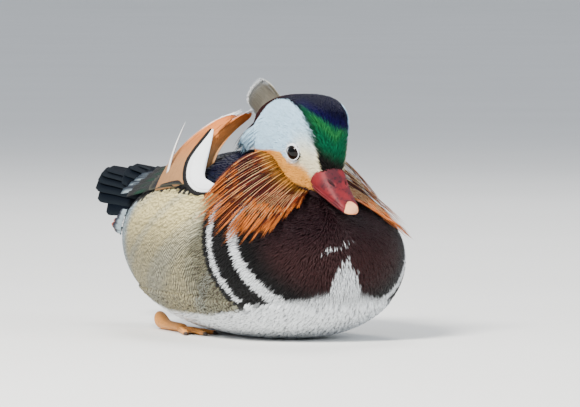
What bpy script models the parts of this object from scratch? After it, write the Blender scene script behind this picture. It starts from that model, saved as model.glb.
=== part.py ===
"""A mandarin drake at rest, life size: the bird sits on its belly with its feet tucked under.

The bird faces -Y, its left side is +X and +Z is up. The origin is on the flat of the belly, at floor
level. Sizes are in metres, written as millimetres times MM.
"""

import math
import random

import bmesh
import bpy
from mathutils import Matrix, Vector
from mathutils.bvhtree import BVHTree

MM = 0.001
GAP = 0.3 * MM
SEED = 7
RIGHT, LEFT = -1, 1
SIDE_NAMES = {RIGHT: "right", LEFT: "left"}

# Body, breast front to rump: rows of along, half width, low, widest level and high.
TORSO_ROWS = (
    (-100, 0, 48, 48, 48),
    (-96, 27, 28, 48, 64),
    (-83, 47, 13, 48, 77),
    (-60, 63, 2.5, 48, 90),
    (-30, 69, -1.5, 48, 104),
    (5, 70, -1.5, 49, 113),
    (45, 67, 1.0, 51, 109),
    (81, 59, 9, 55, 99),
    (110, 45, 24, 59, 91),
    (131, 27, 45, 66, 85),
    (144, 0, 72, 72, 72),
)
TORSO_STEPS = 2
TORSO_SIDES = 28
TORSO_LOW_POWER = 2.1
TORSO_HIGH_POWER = 2.1

# Head, in its own frame with the point between the eyes at its origin.
HEAD_PLACE = Vector((3, -56, 113)) * MM
HEAD_TURN = math.radians(7)
HEAD_NOD = math.radians(19)
HEAD_ROWS = (
    (-23, 0, -11, -11, -11),
    (-21.5, 8.2, -18, -8, -1),
    (-17, 10.0, -21, 4, 13.5),
    (-9, 14.8, -24.5, 13, 27.5),
    (2, 20.0, -27, 14, 31),
    (15, 23.6, -28, 11, 30.5),
    (28, 23.6, -28, 5, 26.5),
    (41, 18.4, -24, 1, 18.5),
    (51, 11.5, -17, -1, 10),
    (57, 0, -3, -3, -3),
)
HEAD_STEPS = 2
HEAD_SIDES = 24
HEAD_LOW_POWER = 2.2
HEAD_HIGH_POWER = 3.2

EYE_RADIUS = 6.0 * MM
EYE_SIDES = 12
EYE_RINGS = 8
EYE_OUT = 15.0 * MM
EYE_FORWARD_TURN = math.radians(12)
LID_RADIUS = 5.0 * MM
LID_THICK = 0.9 * MM
LID_OUT = 3.3 * MM
LID_SIDES = 16

# Bill rows: along, half width, low edge and ridge, from inside the face to the tip.
UPPER_BILL_ROWS = (
    (-12, 9.2, -16.0, -1.5),
    (-19, 9.8, -17.2, -2.0),
    (-25, 9.2, -18.2, -6.6),
    (-32, 8.3, -19.2, -11.3),
    (-39, 7.4, -20.3, -15.1),
    (-43.5, 6.3, -21.5, -17.2),
    (-46.5, 3.9, -22.6, -19.2),
    (-48.2, 0, -21.8, -21.8),
)
LOWER_BILL_ROWS = (
    (-11, 7.6, -20.0, -16.4),
    (-19, 8.1, -20.8, -17.5),
    (-27, 7.5, -21.5, -18.7),
    (-36, 6.7, -22.3, -20.1),
    (-42.6, 4.7, -22.9, -21.4),
)
BILL_STEPS = 2
BILL_SIDES = 16
BILL_EDGE_POWER = 5.0
UPPER_BILL_POWER = 2.0
LOWER_BILL_POWER = 2.2
UPPER_BILL_WIDEST = 0.25
LOWER_BILL_LIP = 0.2
NAIL_PLACE = (0, 41.5, -20)
NAIL_DIRECTION = Vector((0, 1, 0.25))
NOSTRIL_PLACE = Vector((5.3, -27.5, -10.6)) * MM
NOSTRIL_SIZE = Vector((1.5, 2.3, 0.9)) * MM
NOSTRIL_TURN = math.radians(32)
NOSTRIL_SIDES = 10
NOSTRIL_RINGS = 6

# The middle line of the body, that feathers are laid out from.
BREAST_CENTRE = -30 * MM
RUMP_CENTRE = 95 * MM
CENTRE_LEVEL = 62 * MM

NECK_PLACE = Vector((1, -36, 94)) * MM
NECK_RADII = Vector((20, 26, 17)) * MM
NECK_SIDES = 20
NECK_RINGS = 12

# Small round roots that feathers grow from.
SMALL_SIDES = 12
SMALL_RINGS = 8

# Cuts that part the head, and the sides that the crest and the cheeks lie on.
CREST_CUT = (0, 8, 19)
CREST_SIDE = Vector((0, -0.447, -1))
RUFF_CUT = (0, -10, 0)
RUFF_SIDE = Vector((0, -1, 1))

# Feathers and locks: edges as a share of the thickness, and widths as a share of the half width.
VANE_THICK = 1.0 * MM
VANE_EDGE = 0.55
VANE_ROOT_EDGE = 0.8
FEATHER_FINENESS = 20
FEATHER_END = 0.9
FEATHER_END_WIDTH = 0.72
FEATHER_FULL_AT = 0.65
LOCK_THICK = 1.6 * MM
LOCK_THIN = 0.45
WISP_ROOT_WIDTH = 0.62
WISP_END_WIDTH = 0.75
WISP_FULL_AT = 0.4
LARGEST_SHELL = 2.5

# Ruff: roots across, forward and up on the head, tips in millimetres from the belly's flat.
RUFF_ROOTS = ((14, -23, -10), (16, -14, -12), (14, -5, -14), (9.5, 1, -19), (6, 4, -22))
RUFF_TIPS = (
    (50, -25, 93),
    (58, -28, 86),
    (64, -29, 76),
    (66, -48, 69),
    (62, -62, 63),
    (56, -74, 62),
    (45, -84, 67),
    (23, -83, 82),
)
# Ruff tiers: count, reach as a share of the way to the tips, and lift.
RUFF_TIERS = ((12, 0.98, 1.8), (7, 0.76, 3.6))
RUFF_REACH_RANGE = (0.94, 1.04)
RUFF_STRAY = 1.5 * MM
RUFF_HALF = 4.6 * MM
RUFF_RISE = 9 * MM
RUFF_RISE_AT = 0.45
RUFF_RISE_LESS = 0.85
RUFF_RISE_UP = Vector((0, 0, 0.5))

# Crest: how many feathers, how far they spread, then forward and up of their roots and tips.
CREST_TIERS = ((4, 12, (-30, 10), (-72, -22)), (3, 9, (-22, 16), (-64, -9)))
CREST_HALF = 4.5 * MM
CREST_ROOT_SPREAD = 0.75
CREST_ROOT_FALL = 5
CREST_TIP_SHORTER = 8
CREST_TIP_FALL = 9
CREST_BOW = (1.08, -9, 3, -6)
CREST_STRAY = (1, 1.5, 0.7)
CREST_LIFT = 1.2 * MM
CREST_FACING = (0.7, 0.45, 1)

# Folded wing.
WING_PLACE = (43, 42, 87)
WING_RADII = (22, 68, 7.5)
WING_LEAN = math.radians(38)
WING_CONVERGE = math.radians(6)
WING_SIDES = 20
WING_RINGS = 10
WING_SINK = 2.5 * MM
WING_STRAY = (0, 2, 0)
# Each row: first and last root, first and last tip, count, half width and lift.
WING_ROWS = (
    (((24, 92, 96), (42, 84, 88)), ((9, 152, 93), (24, 146, 84)), 4, 5.5, 0.8),
    (((26, 52, 104), (48, 44, 92)), ((22, 108, 98), (42, 104, 84)), 4, 7.0, 1.4),
    (((30, 14, 106), (50, 10, 93)), ((26, 66, 106), (48, 64, 90)), 4, 7.0, 1.8),
)

# Scapulars: the root's ball, then the controls and half width of each feather.
SCAPULAR_ROOT = (50, -15, 92)
SCAPULAR_RADII = (4, 8, 2.5)
SCAPULAR_LEAN = math.radians(48)
SCAPULAR_FACING = (0.8, -0.3, 0.5)
SCAPULAR_STEPS = 6
SCAPULAR_WAIST = 0.8
SCAPULAR_VANES = (
    (((50, -21, 92), (58, -6, 87), (44, 12, 110), (32, 11, 125)), 8.0),
    (((50, -14, 91), (59, 4, 88), (46, 16, 109), (35, 15, 118)), 7.0),
)

# Sails: roots, waists and tips, each run from the front barb to the rear one.
SAIL_RUNS = {
    RIGHT: (
        ((36, 2, 105), (52, 8, 93), (53, 47, 87)),
        ((37, 7, 124), (42, 13, 121), (47, 31, 122)),
        ((9, 1, 133), (13, -1, 137), (17, 1, 138)),
    ),
    LEFT: (
        ((36, 2, 105), (52, 8, 93), (53, 47, 87)),
        ((28, 18, 131), (36, 38, 133), (33, 64, 122)),
        ((8, 13, 155), (9, 29, 156), (8, 48, 144)),
    ),
}
SAIL_BASE_HALF = 3.6 * MM
SAIL_BASE_THICK = 4.6 * MM
SAIL_BASE_STEPS = 6
SAIL_VANES = 5
SAIL_HALF = 8.5 * MM
SAIL_WAIST = 0.8
SAIL_SPREAD = 0.1
SAIL_OVERLAP = 0.4 * MM

# Tail rows: count, half width, root (across, along, up, droop), tip (the same, then its end's curve).
TAIL_ROOT = (0, 132, 80)
TAIL_RADII = (19, 32, 11)
TAIL_SIDES = 16
TAIL_RINGS = 10
TAIL_ROWS = (
    (9, 7.8, (14, 124, 84, 10), (24, 212, 95, 24, 36)),
    (4, 7.5, (11, 116, 87, 8), (15, 176, 97, 9, 16)),
    (4, 8.0, (13, 126, 74, 4), (17, 174, 77, 8, 16)),
)
TAIL_STRAY = (0, 1.5, 0)
TAIL_BOW = 2.5
TAIL_OVERLAP = 0.8
TAIL_FACING = (0.9, 0.1, 1)
TAIL_WAIST = 0.6

PLUME_ROOT = (48.5, 99, 64)
PLUME_RADII = (3.5, 15, 6)
PLUME_TURN = math.radians(28)
PLUME_BOW = 2 * MM
PLUME_BOW_AT = 0.55
PLUME_FACING = (1, 0.4, 0.2)
PLUME_TIPS = ((37, 136, 73), (37, 139, 66), (35, 142, 60))
PLUME_HALF = 4 * MM

# Foot: place and turn, then rows of along, half width, low, middle and high.
FOOT_PLACE = (34, 50)
FOOT_TURN = math.radians(4)
SHANK_ROWS = (
    (-6, 0, 2.2, 2.2, 2.2),
    (-3, 3.4, -0.5, 2.4, 5.0),
    (6, 3.2, -0.5, 2.6, 5.6),
    (20, 3.2, -0.2, 3.0, 6.4),
    (32, 4.0, 1.0, 6.0, 11.0),
    (37, 0, 8, 8, 8),
)
TOES = ((-14, 38), (2, 45), (18, 39))
TOE_ROWS = (
    (0, 2.6, -0.8, 1.6, 3.6),
    (0.3, 2.5, -0.8, 1.4, 3.3),
    (0.6, 2.2, -0.8, 1.2, 2.8),
    (0.88, 1.7, -0.8, 1.0, 2.4),
    (1.0, 0, 0.8, 0.8, 0.8),
)
ROUND = (2, 2)
SHANK_SIDES = 12
TOE_SIDES = 8
WEB_REACH = 0.86
WEB_NOTCH = 0.9
WEB_LEVELS = (-0.5, 1.3)

# Colour and roughness of each node.
FINISHES = {
    "torso": ((0.42, 0.36, 0.26), 0.75),
    "neck": ((0.16, 0.07, 0.04), 0.7),
    "head": ((0.85, 0.86, 0.86), 0.7),
    "crest": ((0.07, 0.06, 0.16), 0.5),
    "ruff_right": ((0.55, 0.16, 0.03), 0.7),
    "ruff_left": ((0.55, 0.16, 0.03), 0.7),
    "bill_upper": ((0.62, 0.08, 0.1), 0.4),
    "bill_lower": ((0.62, 0.08, 0.1), 0.4),
    "bill_nail": ((0.8, 0.5, 0.36), 0.4),
    "eye_right": ((0.02, 0.012, 0.01), 0.08),
    "eye_left": ((0.02, 0.012, 0.01), 0.08),
    "wing_right": ((0.06, 0.07, 0.1), 0.6),
    "wing_left": ((0.06, 0.07, 0.1), 0.6),
    "scapulars_right": ((0.85, 0.85, 0.83), 0.7),
    "scapulars_left": ((0.85, 0.85, 0.83), 0.7),
    "sail_right": ((0.75, 0.33, 0.12), 0.65),
    "sail_left": ((0.75, 0.33, 0.12), 0.65),
    "tail": ((0.03, 0.035, 0.045), 0.6),
    "rump_plume_right": ((0.6, 0.25, 0.1), 0.7),
    "rump_plume_left": ((0.6, 0.25, 0.1), 0.7),
    "foot_right": ((0.75, 0.38, 0.1), 0.6),
    "foot_left": ((0.75, 0.38, 0.1), 0.6),
}


def clear_scene():
    """Remove every object that the scene starts with."""
    for obj in list(bpy.data.objects):
        bpy.data.objects.remove(obj, do_unlink=True)


def new_collection(name):
    """A new collection under the scene's own."""
    made = bpy.data.collections.new(name)
    bpy.context.scene.collection.children.link(made)
    return made


def material(name, colour, roughness):
    """A plain finish in one colour."""
    made = bpy.data.materials.new(name)
    made.use_nodes = True
    shader = made.node_tree.nodes["Principled BSDF"]
    shader.inputs["Base Color"].default_value = (*colour, 1)
    shader.inputs["Roughness"].default_value = roughness
    return made


def mesh_object(name, points, faces, collection):
    """One mesh object from points and faces, with its faces turned outwards."""
    mesh = bpy.data.meshes.new(name)
    mesh.from_pydata([tuple(p) for p in points], [], faces)
    work = bmesh.new()
    work.from_mesh(mesh)
    bmesh.ops.recalc_face_normals(work, faces=work.faces)
    if work.calc_volume(signed=True) < 0:
        bmesh.ops.reverse_faces(work, faces=work.faces)
    work.to_mesh(mesh)
    work.free()
    made = bpy.data.objects.new(name, mesh)
    collection.objects.link(made)
    return made


def smooth_rows(rows, steps):
    """A smooth run through the rows, which ends in the first and last of them.

    A row of no width is a pole, and the run is mirrored there so that it comes in square.
    """

    def beyond(end, inner):
        if end[1] == 0:
            return (inner[0], -inner[1], inner[4], inner[3], inner[2])
        return tuple(2 * e - i for e, i in zip(end, inner))

    run = [beyond(rows[0], rows[1]), *rows, beyond(rows[-1], rows[-2])]
    found = []
    for before, start, end, after in zip(run, run[1:], run[2:], run[3:]):
        for step in range(steps):
            t = step / steps
            found.append(
                tuple(
                    0.5
                    * (
                        2 * b
                        + (c - a) * t
                        + (2 * a - 5 * b + 4 * c - d) * t * t
                        + (3 * b - a - 3 * c + d) * t**3
                    )
                    for a, b, c, d in zip(before, start, end, after)
                )
            )
    return [*found, rows[-1]]


def section(row, sides, low_power, high_power):
    """The points of one superellipse section that stands across the Y axis."""
    along, half_width, low, widest, high = row
    points = []
    for side in range(sides):
        angle = 2 * math.pi * side / sides
        c, s = math.cos(angle), math.sin(angle)
        power = high_power if s > 0 else low_power
        reach = high - widest if s > 0 else widest - low
        points.append(
            Vector(
                (
                    half_width * math.copysign(abs(c) ** (2 / power), c),
                    along,
                    widest + reach * math.copysign(abs(s) ** (2 / power), s),
                )
            )
            * MM
        )
    return points


def loft(name, rows, sides, powers, collection, place=Matrix.Identity(4)):
    """A closed body through sections, ended by a point or by a flat face."""
    points, faces, rings = [], [], []
    for row in rows:
        if row[1] == 0:
            rings.append([len(points)])
            points.append(place @ (Vector((0, row[0], row[3])) * MM))
        else:
            rings.append(list(range(len(points), len(points) + sides)))
            points += [place @ p for p in section(row, sides, *powers)]
    for a, b in zip(rings, rings[1:]):
        for k in range(sides):
            n = (k + 1) % sides
            if len(a) == 1:
                faces.append((a[0], b[n], b[k]))
            elif len(b) == 1:
                faces.append((a[k], a[n], b[0]))
            else:
                faces.append((a[k], a[n], b[n], b[k]))
    for ring in (rings[0], rings[-1]):
        if len(ring) > 1:
            faces.append(tuple(ring))
    return mesh_object(name, points, faces, collection)


def inflated(obj, distance, collection):
    """A copy of a body, grown outwards by a distance."""
    copy = obj.copy()
    copy.data = obj.data.copy()
    copy.name = obj.name + ".grown"
    collection.objects.link(copy)
    work = bmesh.new()
    work.from_mesh(copy.data)
    work.normal_update()
    moves = [v.normal * distance * min(v.calc_shell_factor(), LARGEST_SHELL) for v in work.verts]
    for vertex, move in zip(work.verts, moves):
        vertex.co += move
    work.to_mesh(copy.data)
    work.free()
    return copy


def apply_modifiers(obj):
    """Turn an object's modifiers into its mesh."""
    graph = bpy.context.evaluated_depsgraph_get()
    mesh = bpy.data.meshes.new_from_object(obj.evaluated_get(graph))
    obj.modifiers.clear()
    old = obj.data
    obj.data = mesh
    bpy.data.meshes.remove(old)


def keep_largest(obj):
    """Keep only the largest closed surface of a mesh."""
    work = bmesh.new()
    work.from_mesh(obj.data)
    bmesh.ops.triangulate(work, faces=work.faces)
    left, islands = set(work.verts), []
    while left:
        start = left.pop()
        island, edge = {start}, [start]
        while edge:
            for link in edge.pop().link_edges:
                for vertex in link.verts:
                    if vertex not in island:
                        island.add(vertex)
                        edge.append(vertex)
        left -= island
        islands.append(island)

    def volume(island):
        corners = [[v.co for v in f.verts] for f in work.faces if f.verts[0] in island]
        return sum(a.dot(b.cross(c)) for a, b, c in corners)

    best = max(islands, key=volume)
    loose = [v for v in work.verts if v not in best]
    bmesh.ops.delete(work, geom=loose, context="VERTS")
    work.to_mesh(obj.data)
    work.free()


def boolean(obj, other, operation, solver="MANIFOLD"):
    """Join, cut or trim one mesh by another object, which is then removed."""
    cut = obj.modifiers.new("cut", "BOOLEAN")
    cut.operation = operation
    cut.solver = solver
    cut.object = other
    apply_modifiers(obj)
    bpy.data.objects.remove(other, do_unlink=True)


def combine(obj, pieces, operation, solver):
    """One Boolean of a body with a whole collection of pieces, which are then removed."""
    group = bpy.data.collections.new(obj.name + ".pieces")
    bpy.context.scene.collection.children.link(group)
    for piece in pieces:
        for holder in list(piece.users_collection):
            holder.objects.unlink(piece)
        group.objects.link(piece)
    step = obj.modifiers.new("step", "BOOLEAN")
    step.operation = operation
    step.operand_type = "COLLECTION"
    step.solver = solver
    step.collection = group
    apply_modifiers(obj)
    for piece in list(group.objects):
        bpy.data.objects.remove(piece, do_unlink=True)
    bpy.data.collections.remove(group)
    keep_largest(obj)


def fuse(obj, pieces, cutters, solver="MANIFOLD"):
    """One Boolean union of a body with the pieces that grow from it.

    A grown copy of each piece stays among the cutters, to cut the body's neighbours clear.
    """
    if cutters is not None:
        for piece in [obj, *pieces]:
            grown = inflated(piece, GAP, cutters)
            grown.name = obj.name + ".grown"
            grown.hide_render = True
            grown.display_type = "WIRE"
    combine(obj, pieces, "UNION", solver)


def half_space(point, normal, collection, size=0.5):
    """A large box whose top face passes through a point, square to a direction."""
    bpy.ops.mesh.primitive_cube_add(size=size)
    box = bpy.context.object
    for holder in list(box.users_collection):
        holder.objects.unlink(box)
    collection.objects.link(box)
    direction = Vector(normal).normalized()
    turn = direction.to_track_quat("Z", "Y")
    box.data.transform(
        Matrix.Translation(Vector(point) - direction * size / 2) @ turn.to_matrix().to_4x4()
    )
    return box


def split(obj, name, point, normal, collection):
    """Part a body by a thin plane cut. The body keeps the side that the direction points to."""
    direction = Vector(normal).normalized()
    other = obj.copy()
    other.data = obj.data.copy()
    other.name = name
    collection.objects.link(other)
    boolean(obj, half_space(Vector(point) + direction * GAP / 2, direction, collection), "DIFFERENCE")
    boolean(other, half_space(Vector(point) - direction * GAP / 2, direction, collection), "INTERSECT")
    keep_largest(obj)
    keep_largest(other)
    return other


def ball(name, radius, sides, rings, collection):
    """A sphere with its poles on X."""
    bpy.ops.mesh.primitive_uv_sphere_add(segments=sides, ring_count=rings, radius=radius)
    made = bpy.context.object
    made.name = name
    for holder in list(made.users_collection):
        holder.objects.unlink(made)
    collection.objects.link(made)
    made.data.transform(Matrix.Rotation(math.pi / 2, 4, "Y"))
    return made


def ring(name, radius, thick, sides, collection):
    """A torus with its axis on X."""
    bpy.ops.mesh.primitive_torus_add(
        major_radius=radius, minor_radius=thick, major_segments=sides, minor_segments=6
    )
    made = bpy.context.object
    made.name = name
    for holder in list(made.users_collection):
        holder.objects.unlink(made)
    collection.objects.link(made)
    made.data.transform(Matrix.Rotation(math.pi / 2, 4, "Y"))
    return made


def curve_points(controls, count):
    """Points along the Bezier curve of any number of controls."""
    found = []
    for step in range(count + 1):
        t = step / count
        level = [Vector(c) for c in controls]
        while len(level) > 1:
            level = [a.lerp(b, t) for a, b in zip(level, level[1:])]
        found.append(level[0])
    return found


def vane(name, path, facings, fore, aft, thick, collection):
    """A flat feather along a path, with one width on each side of its shaft and a pointed tip.

    Top and bottom are split into triangles alike, so that they can't cross where the vane bends.
    """
    points, faces = [], []
    last = len(path) - 1
    for k, place in enumerate(path[:-1]):
        ahead = (path[k + 1] - path[max(k - 1, 0)]).normalized()
        across = ahead.cross(facings[k]).normalized()
        up = across.cross(ahead).normalized()
        edge = 0.5 * thick * (VANE_EDGE if k else VANE_ROOT_EDGE)
        for offset, lift in (
            (across * fore[k], edge),
            (Vector((0, 0, 0)), 0.5 * thick),
            (-across * aft[k], edge),
        ):
            points.append(place + offset + up * lift)
            points.append(place + offset - up * lift)
    tip = len(points)
    points.append(path[last])
    for k in range(last - 1):
        a, b = 6 * k, 6 * (k + 1)
        for left, right in ((0, 2), (2, 4)):
            faces += [(a + left, a + right, b + right), (a + left, b + right, b + left)]
            lower_left, lower_right = left + 1, right + 1
            faces += [
                (a + lower_left, b + lower_right, a + lower_right),
                (a + lower_left, b + lower_left, b + lower_right),
            ]
        faces += [(a, b, b + 1), (a, b + 1, a + 1)]
        faces += [(a + 4, b + 5, b + 4), (a + 4, a + 5, b + 5)]
    a = 6 * (last - 1)
    rim = (a, a + 2, a + 4, a + 5, a + 3, a + 1)
    faces += [(rim[k], rim[(k + 1) % 6], tip) for k in range(6)]
    faces.append((1, 3, 5, 4, 2, 0))
    return mesh_object(name, points, faces, collection)


def lock(name, path, facings, half, thick, collection):
    """A flat tapered lock of four sides along a path."""
    points, faces = [], []
    last = len(path) - 1
    for k, place in enumerate(path[:-1]):
        ahead = (path[k + 1] - path[max(k - 1, 0)]).normalized()
        across = ahead.cross(facings[k]).normalized()
        up = across.cross(ahead).normalized()
        share = half[k] / max(half)
        rise = 0.5 * thick * (LOCK_THIN + (1 - LOCK_THIN) * share)
        points += [place + across * half[k], place + up * rise]
        points += [place - across * half[k], place - up * rise]
    tip = len(points)
    points.append(path[last])
    for k in range(last - 1):
        a, b = 4 * k, 4 * (k + 1)
        for side in range(4):
            n = (side + 1) % 4
            if side in (0, 3):
                faces += [(a + side, b + n, a + n), (a + side, b + side, b + n)]
            else:
                faces += [(a + side, b + side, a + n), (a + n, b + side, b + n)]
    a = 4 * (last - 1)
    faces += [(a + side, tip, a + (side + 1) % 4) for side in range(4)]
    faces.append((0, 1, 2, 3))
    return mesh_object(name, points, faces, collection)


class Clearance:
    """Keeps feathers off the bodies that they lie over."""

    def __init__(self, bodies):
        self.trees = []
        for obj in bodies:
            work = bmesh.new()
            work.from_mesh(obj.data)
            self.trees.append(BVHTree.FromBMesh(work))
            work.free()

    def outermost(self, place, centre):
        """The way from a centre through a place, and how far along it the outermost body reaches."""
        way = (place - centre).normalized()
        best = None
        for tree in self.trees:
            hit = tree.ray_cast(centre + way * 0.4, -way)[0]
            if hit is not None and (best is None or (hit - centre).dot(way) > best):
                best = (hit - centre).dot(way)
        return way, best

    def lifted(self, place, lift):
        """The place, moved out from the body's middle line until it is clear by the lift."""
        centre = body_centre(place)
        way, best = self.outermost(place, centre)
        if best is not None and (place - centre).dot(way) < best + lift:
            return centre + way * (best + lift)
        return place


def body_centre(place):
    """The point of the body's middle line that a place lies out from."""
    return Vector((0, max(BREAST_CENTRE, min(place.y, RUMP_CENTRE)), CENTRE_LEVEL))


def outward(place):
    """The way out from the body's middle line at a place."""
    return (place - body_centre(place)).normalized()


HEAD_FRAME = (
    Matrix.Translation(HEAD_PLACE)
    @ Matrix.Rotation(HEAD_TURN, 4, "Z")
    @ Matrix.Rotation(HEAD_NOD, 4, "X")
)


def head_point(across, forward, up):
    """A place given in millimetres in the head's own frame."""
    return HEAD_FRAME @ (Vector((across, -forward, up)) * MM)


def build_torso(parts):
    """The body from breast to rump, cut flat where it rests."""
    rows = smooth_rows(TORSO_ROWS, TORSO_STEPS)
    torso = loft("torso", rows, TORSO_SIDES, (TORSO_LOW_POWER, TORSO_HIGH_POWER), parts)
    return torso


def flatten_belly(torso, parts):
    """Cut the belly off level with the floor."""
    boolean(torso, half_space((0, 0, 0), (0, 0, 1), parts), "DIFFERENCE")


def build_head_loft(parts):
    """The whole head's outline in one body, before it is parted."""
    rows = smooth_rows(HEAD_ROWS, HEAD_STEPS)
    powers = (HEAD_LOW_POWER, HEAD_HIGH_POWER)
    return loft("head", rows, HEAD_SIDES, powers, parts, HEAD_FRAME)


def eye_frame(side):
    """The place and turn of an eye, with +X looking out of the head."""
    turn = -side * EYE_FORWARD_TURN if side == LEFT else math.pi - side * EYE_FORWARD_TURN
    return (
        HEAD_FRAME
        @ Matrix.Translation(Vector((side * EYE_OUT, 0, 0)))
        @ Matrix.Rotation(turn, 4, "Z")
    )


def build_eye(side, parts):
    """One eyeball."""
    eye = ball("eye_" + SIDE_NAMES[side], EYE_RADIUS, EYE_SIDES, EYE_RINGS, parts)
    eye.data.transform(eye_frame(side))
    return eye


def add_lids(head, parts):
    """A raised rim of skin round each eye, and the socket that the eyeball sits in."""
    lids = []
    for side in (RIGHT, LEFT):
        lid = ring("lid", LID_RADIUS, LID_THICK, LID_SIDES, parts)
        lid.data.transform(eye_frame(side) @ Matrix.Translation(Vector((LID_OUT, 0, 0))))
        lids.append(lid)
    fuse(head, lids, None)
    for side in (RIGHT, LEFT):
        socket = ball("socket", EYE_RADIUS + GAP, EYE_SIDES, EYE_RINGS, parts)
        socket.data.transform(eye_frame(side))
        boolean(head, socket, "DIFFERENCE")


def upper_bill_loft(parts):
    """The upper half of the bill: flat below and arched above."""
    rows = []
    for along, half, low, high in UPPER_BILL_ROWS:
        rows.append((along, half, low, low + UPPER_BILL_WIDEST * (high - low), high))
    powers = (BILL_EDGE_POWER, UPPER_BILL_POWER)
    steps = smooth_rows(rows, BILL_STEPS)
    return loft("bill_upper", steps, BILL_SIDES, powers, parts, HEAD_FRAME)


def lower_bill_loft(parts):
    """The lower half of the bill: flat above and hollow-backed below."""
    rows = []
    for along, half, low, high in LOWER_BILL_ROWS:
        rows.append((along, half, low, high - LOWER_BILL_LIP, high))
    powers = (LOWER_BILL_POWER, BILL_EDGE_POWER)
    steps = smooth_rows(rows, BILL_STEPS)
    return loft("bill_lower", steps, BILL_SIDES, powers, parts, HEAD_FRAME)


def cut_nostril(upper, side, parts):
    """Sink one nostril into the upper half of the bill."""
    hole = ball("nostril", 1.0, NOSTRIL_SIDES, NOSTRIL_RINGS, parts)
    place = Vector((side * NOSTRIL_PLACE.x, NOSTRIL_PLACE.y, NOSTRIL_PLACE.z))
    hole.data.transform(
        HEAD_FRAME
        @ Matrix.Translation(place)
        @ Matrix.Rotation(NOSTRIL_TURN, 4, "X")
        @ Matrix.Diagonal((*NOSTRIL_SIZE, 1))
    )
    boolean(upper, hole, "DIFFERENCE")


def build_bill(head_loft, parts):
    """The two halves of the bill, the nail at the tip and the nostrils."""
    upper = upper_bill_loft(parts)
    lower = lower_bill_loft(parts)
    for side in (RIGHT, LEFT):
        cut_nostril(upper, side, parts)
    boolean(lower, inflated(upper, GAP, parts), "DIFFERENCE")
    boolean(upper, inflated(head_loft, GAP, parts), "DIFFERENCE")
    boolean(lower, inflated(head_loft, GAP, parts), "DIFFERENCE")
    keep_largest(upper)
    keep_largest(lower)
    behind = HEAD_FRAME.to_3x3() @ NAIL_DIRECTION
    nail = split(upper, "bill_nail", head_point(*NAIL_PLACE), behind, parts)
    return upper, lower, nail


def build_neck(torso, head_loft, parts):
    """The short drawn-in neck, between the shoulders and the head."""
    neck = ball("neck", 1.0, NECK_SIDES, NECK_RINGS, parts)
    neck.data.transform(Matrix.Translation(NECK_PLACE) @ Matrix.Diagonal((*NECK_RADII, 1)))
    boolean(neck, inflated(torso, GAP, parts), "DIFFERENCE")
    boolean(neck, inflated(head_loft, GAP, parts), "DIFFERENCE")
    keep_largest(neck)
    return neck


def part_head(head, parts):
    """Part the head into the face, the crest and the two cheeks that carry the ruff."""
    turn = HEAD_FRAME.to_3x3()
    crest = split(head, "crest", head_point(*CREST_CUT), turn @ CREST_SIDE, parts)
    ruff = split(head, "ruff_left", head_point(*RUFF_CUT), turn @ RUFF_SIDE, parts)
    right = split(ruff, "ruff_right", head_point(0, 0, 0), turn @ Vector((1, 0, 0)), parts)
    return crest, {LEFT: ruff, RIGHT: right}


def bounds(obj):
    """The low and high corners of a body."""
    corners = [obj.matrix_world @ v.co for v in obj.data.vertices]
    return (
        Vector(min(c[k] for c in corners) for k in range(3)),
        Vector(max(c[k] for c in corners) for k in range(3)),
    )


def near(first, second):
    """Whether two bodies' boxes come within reach of each other."""
    low_a, high_a = bounds(first)
    low_b, high_b = bounds(second)
    return all(low_a[k] < high_b[k] + 2 * GAP and low_b[k] < high_a[k] + 2 * GAP for k in range(3))


def trim(obj, bodies, parts, cutters):
    """Cut a body clear of its neighbours by the gap."""
    for body in bodies:
        grown = [c for c in cutters.objects if c.name.startswith(body.name + ".grown")]
        if grown:
            tools = []
            for cutter in grown:
                if near(obj, cutter):
                    copy = cutter.copy()
                    copy.data = cutter.data.copy()
                    parts.objects.link(copy)
                    tools.append(copy)
            if tools:
                combine(obj, tools, "DIFFERENCE", "MANIFOLD")
        elif near(obj, body):
            boolean(obj, inflated(body, GAP, parts), "DIFFERENCE")
            keep_largest(obj)


def blend(values, t):
    """A value on the smooth run through a list, from 0 at its start to 1 at its end."""
    place = max(0.0, min(1.0, t)) * (len(values) - 1)
    k = min(int(place), len(values) - 2)
    f = place - k
    ahead = values[min(k + 2, len(values) - 1)]
    behind = values[max(k - 1, 0)]
    a, b = values[k], values[k + 1]
    return 0.5 * (
        2 * a + (b - behind) * f + (2 * behind - 5 * a + 4 * b - ahead) * f * f
        + (3 * a - behind - 3 * b + ahead) * f**3
    )


def mirrored(places, side):
    """Places in millimetres given for the left side, on the side asked for."""
    return [Vector((side * p[0], p[1], p[2])) * MM for p in places]


def stray(rng, reach):
    """A small random move, up to the reach each way."""
    return Vector([rng.uniform(-r, r) for r in reach])


def feather(name, controls, facing, half_width, parts, cover=None, lift=0.0, steps=4, waist=0.5):
    """A feather with a rounded tip, along the curve of its controls and clear of what it covers."""
    fine = curve_points(controls, FEATHER_FINENESS)
    stops = [round(FEATHER_FINENESS * FEATHER_END * k / (steps - 1)) for k in range(steps)]
    path = [fine[k] for k in stops] + [fine[-1]]
    if cover is not None:
        path = [path[0]] + [cover.lifted(p, lift) for p in path[1:]]
    facings = [facing(p) if callable(facing) else facing for p in path[:-1]]
    widths = []
    for stop in stops:
        share = min(stop / FEATHER_FINENESS / FEATHER_FULL_AT, 1)
        widths.append(half_width * (waist + (1 - waist) * math.sin(math.pi / 2 * share)))
    widths[-1] *= FEATHER_END_WIDTH
    return vane(name, path, facings, widths, widths, VANE_THICK, parts)


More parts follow.
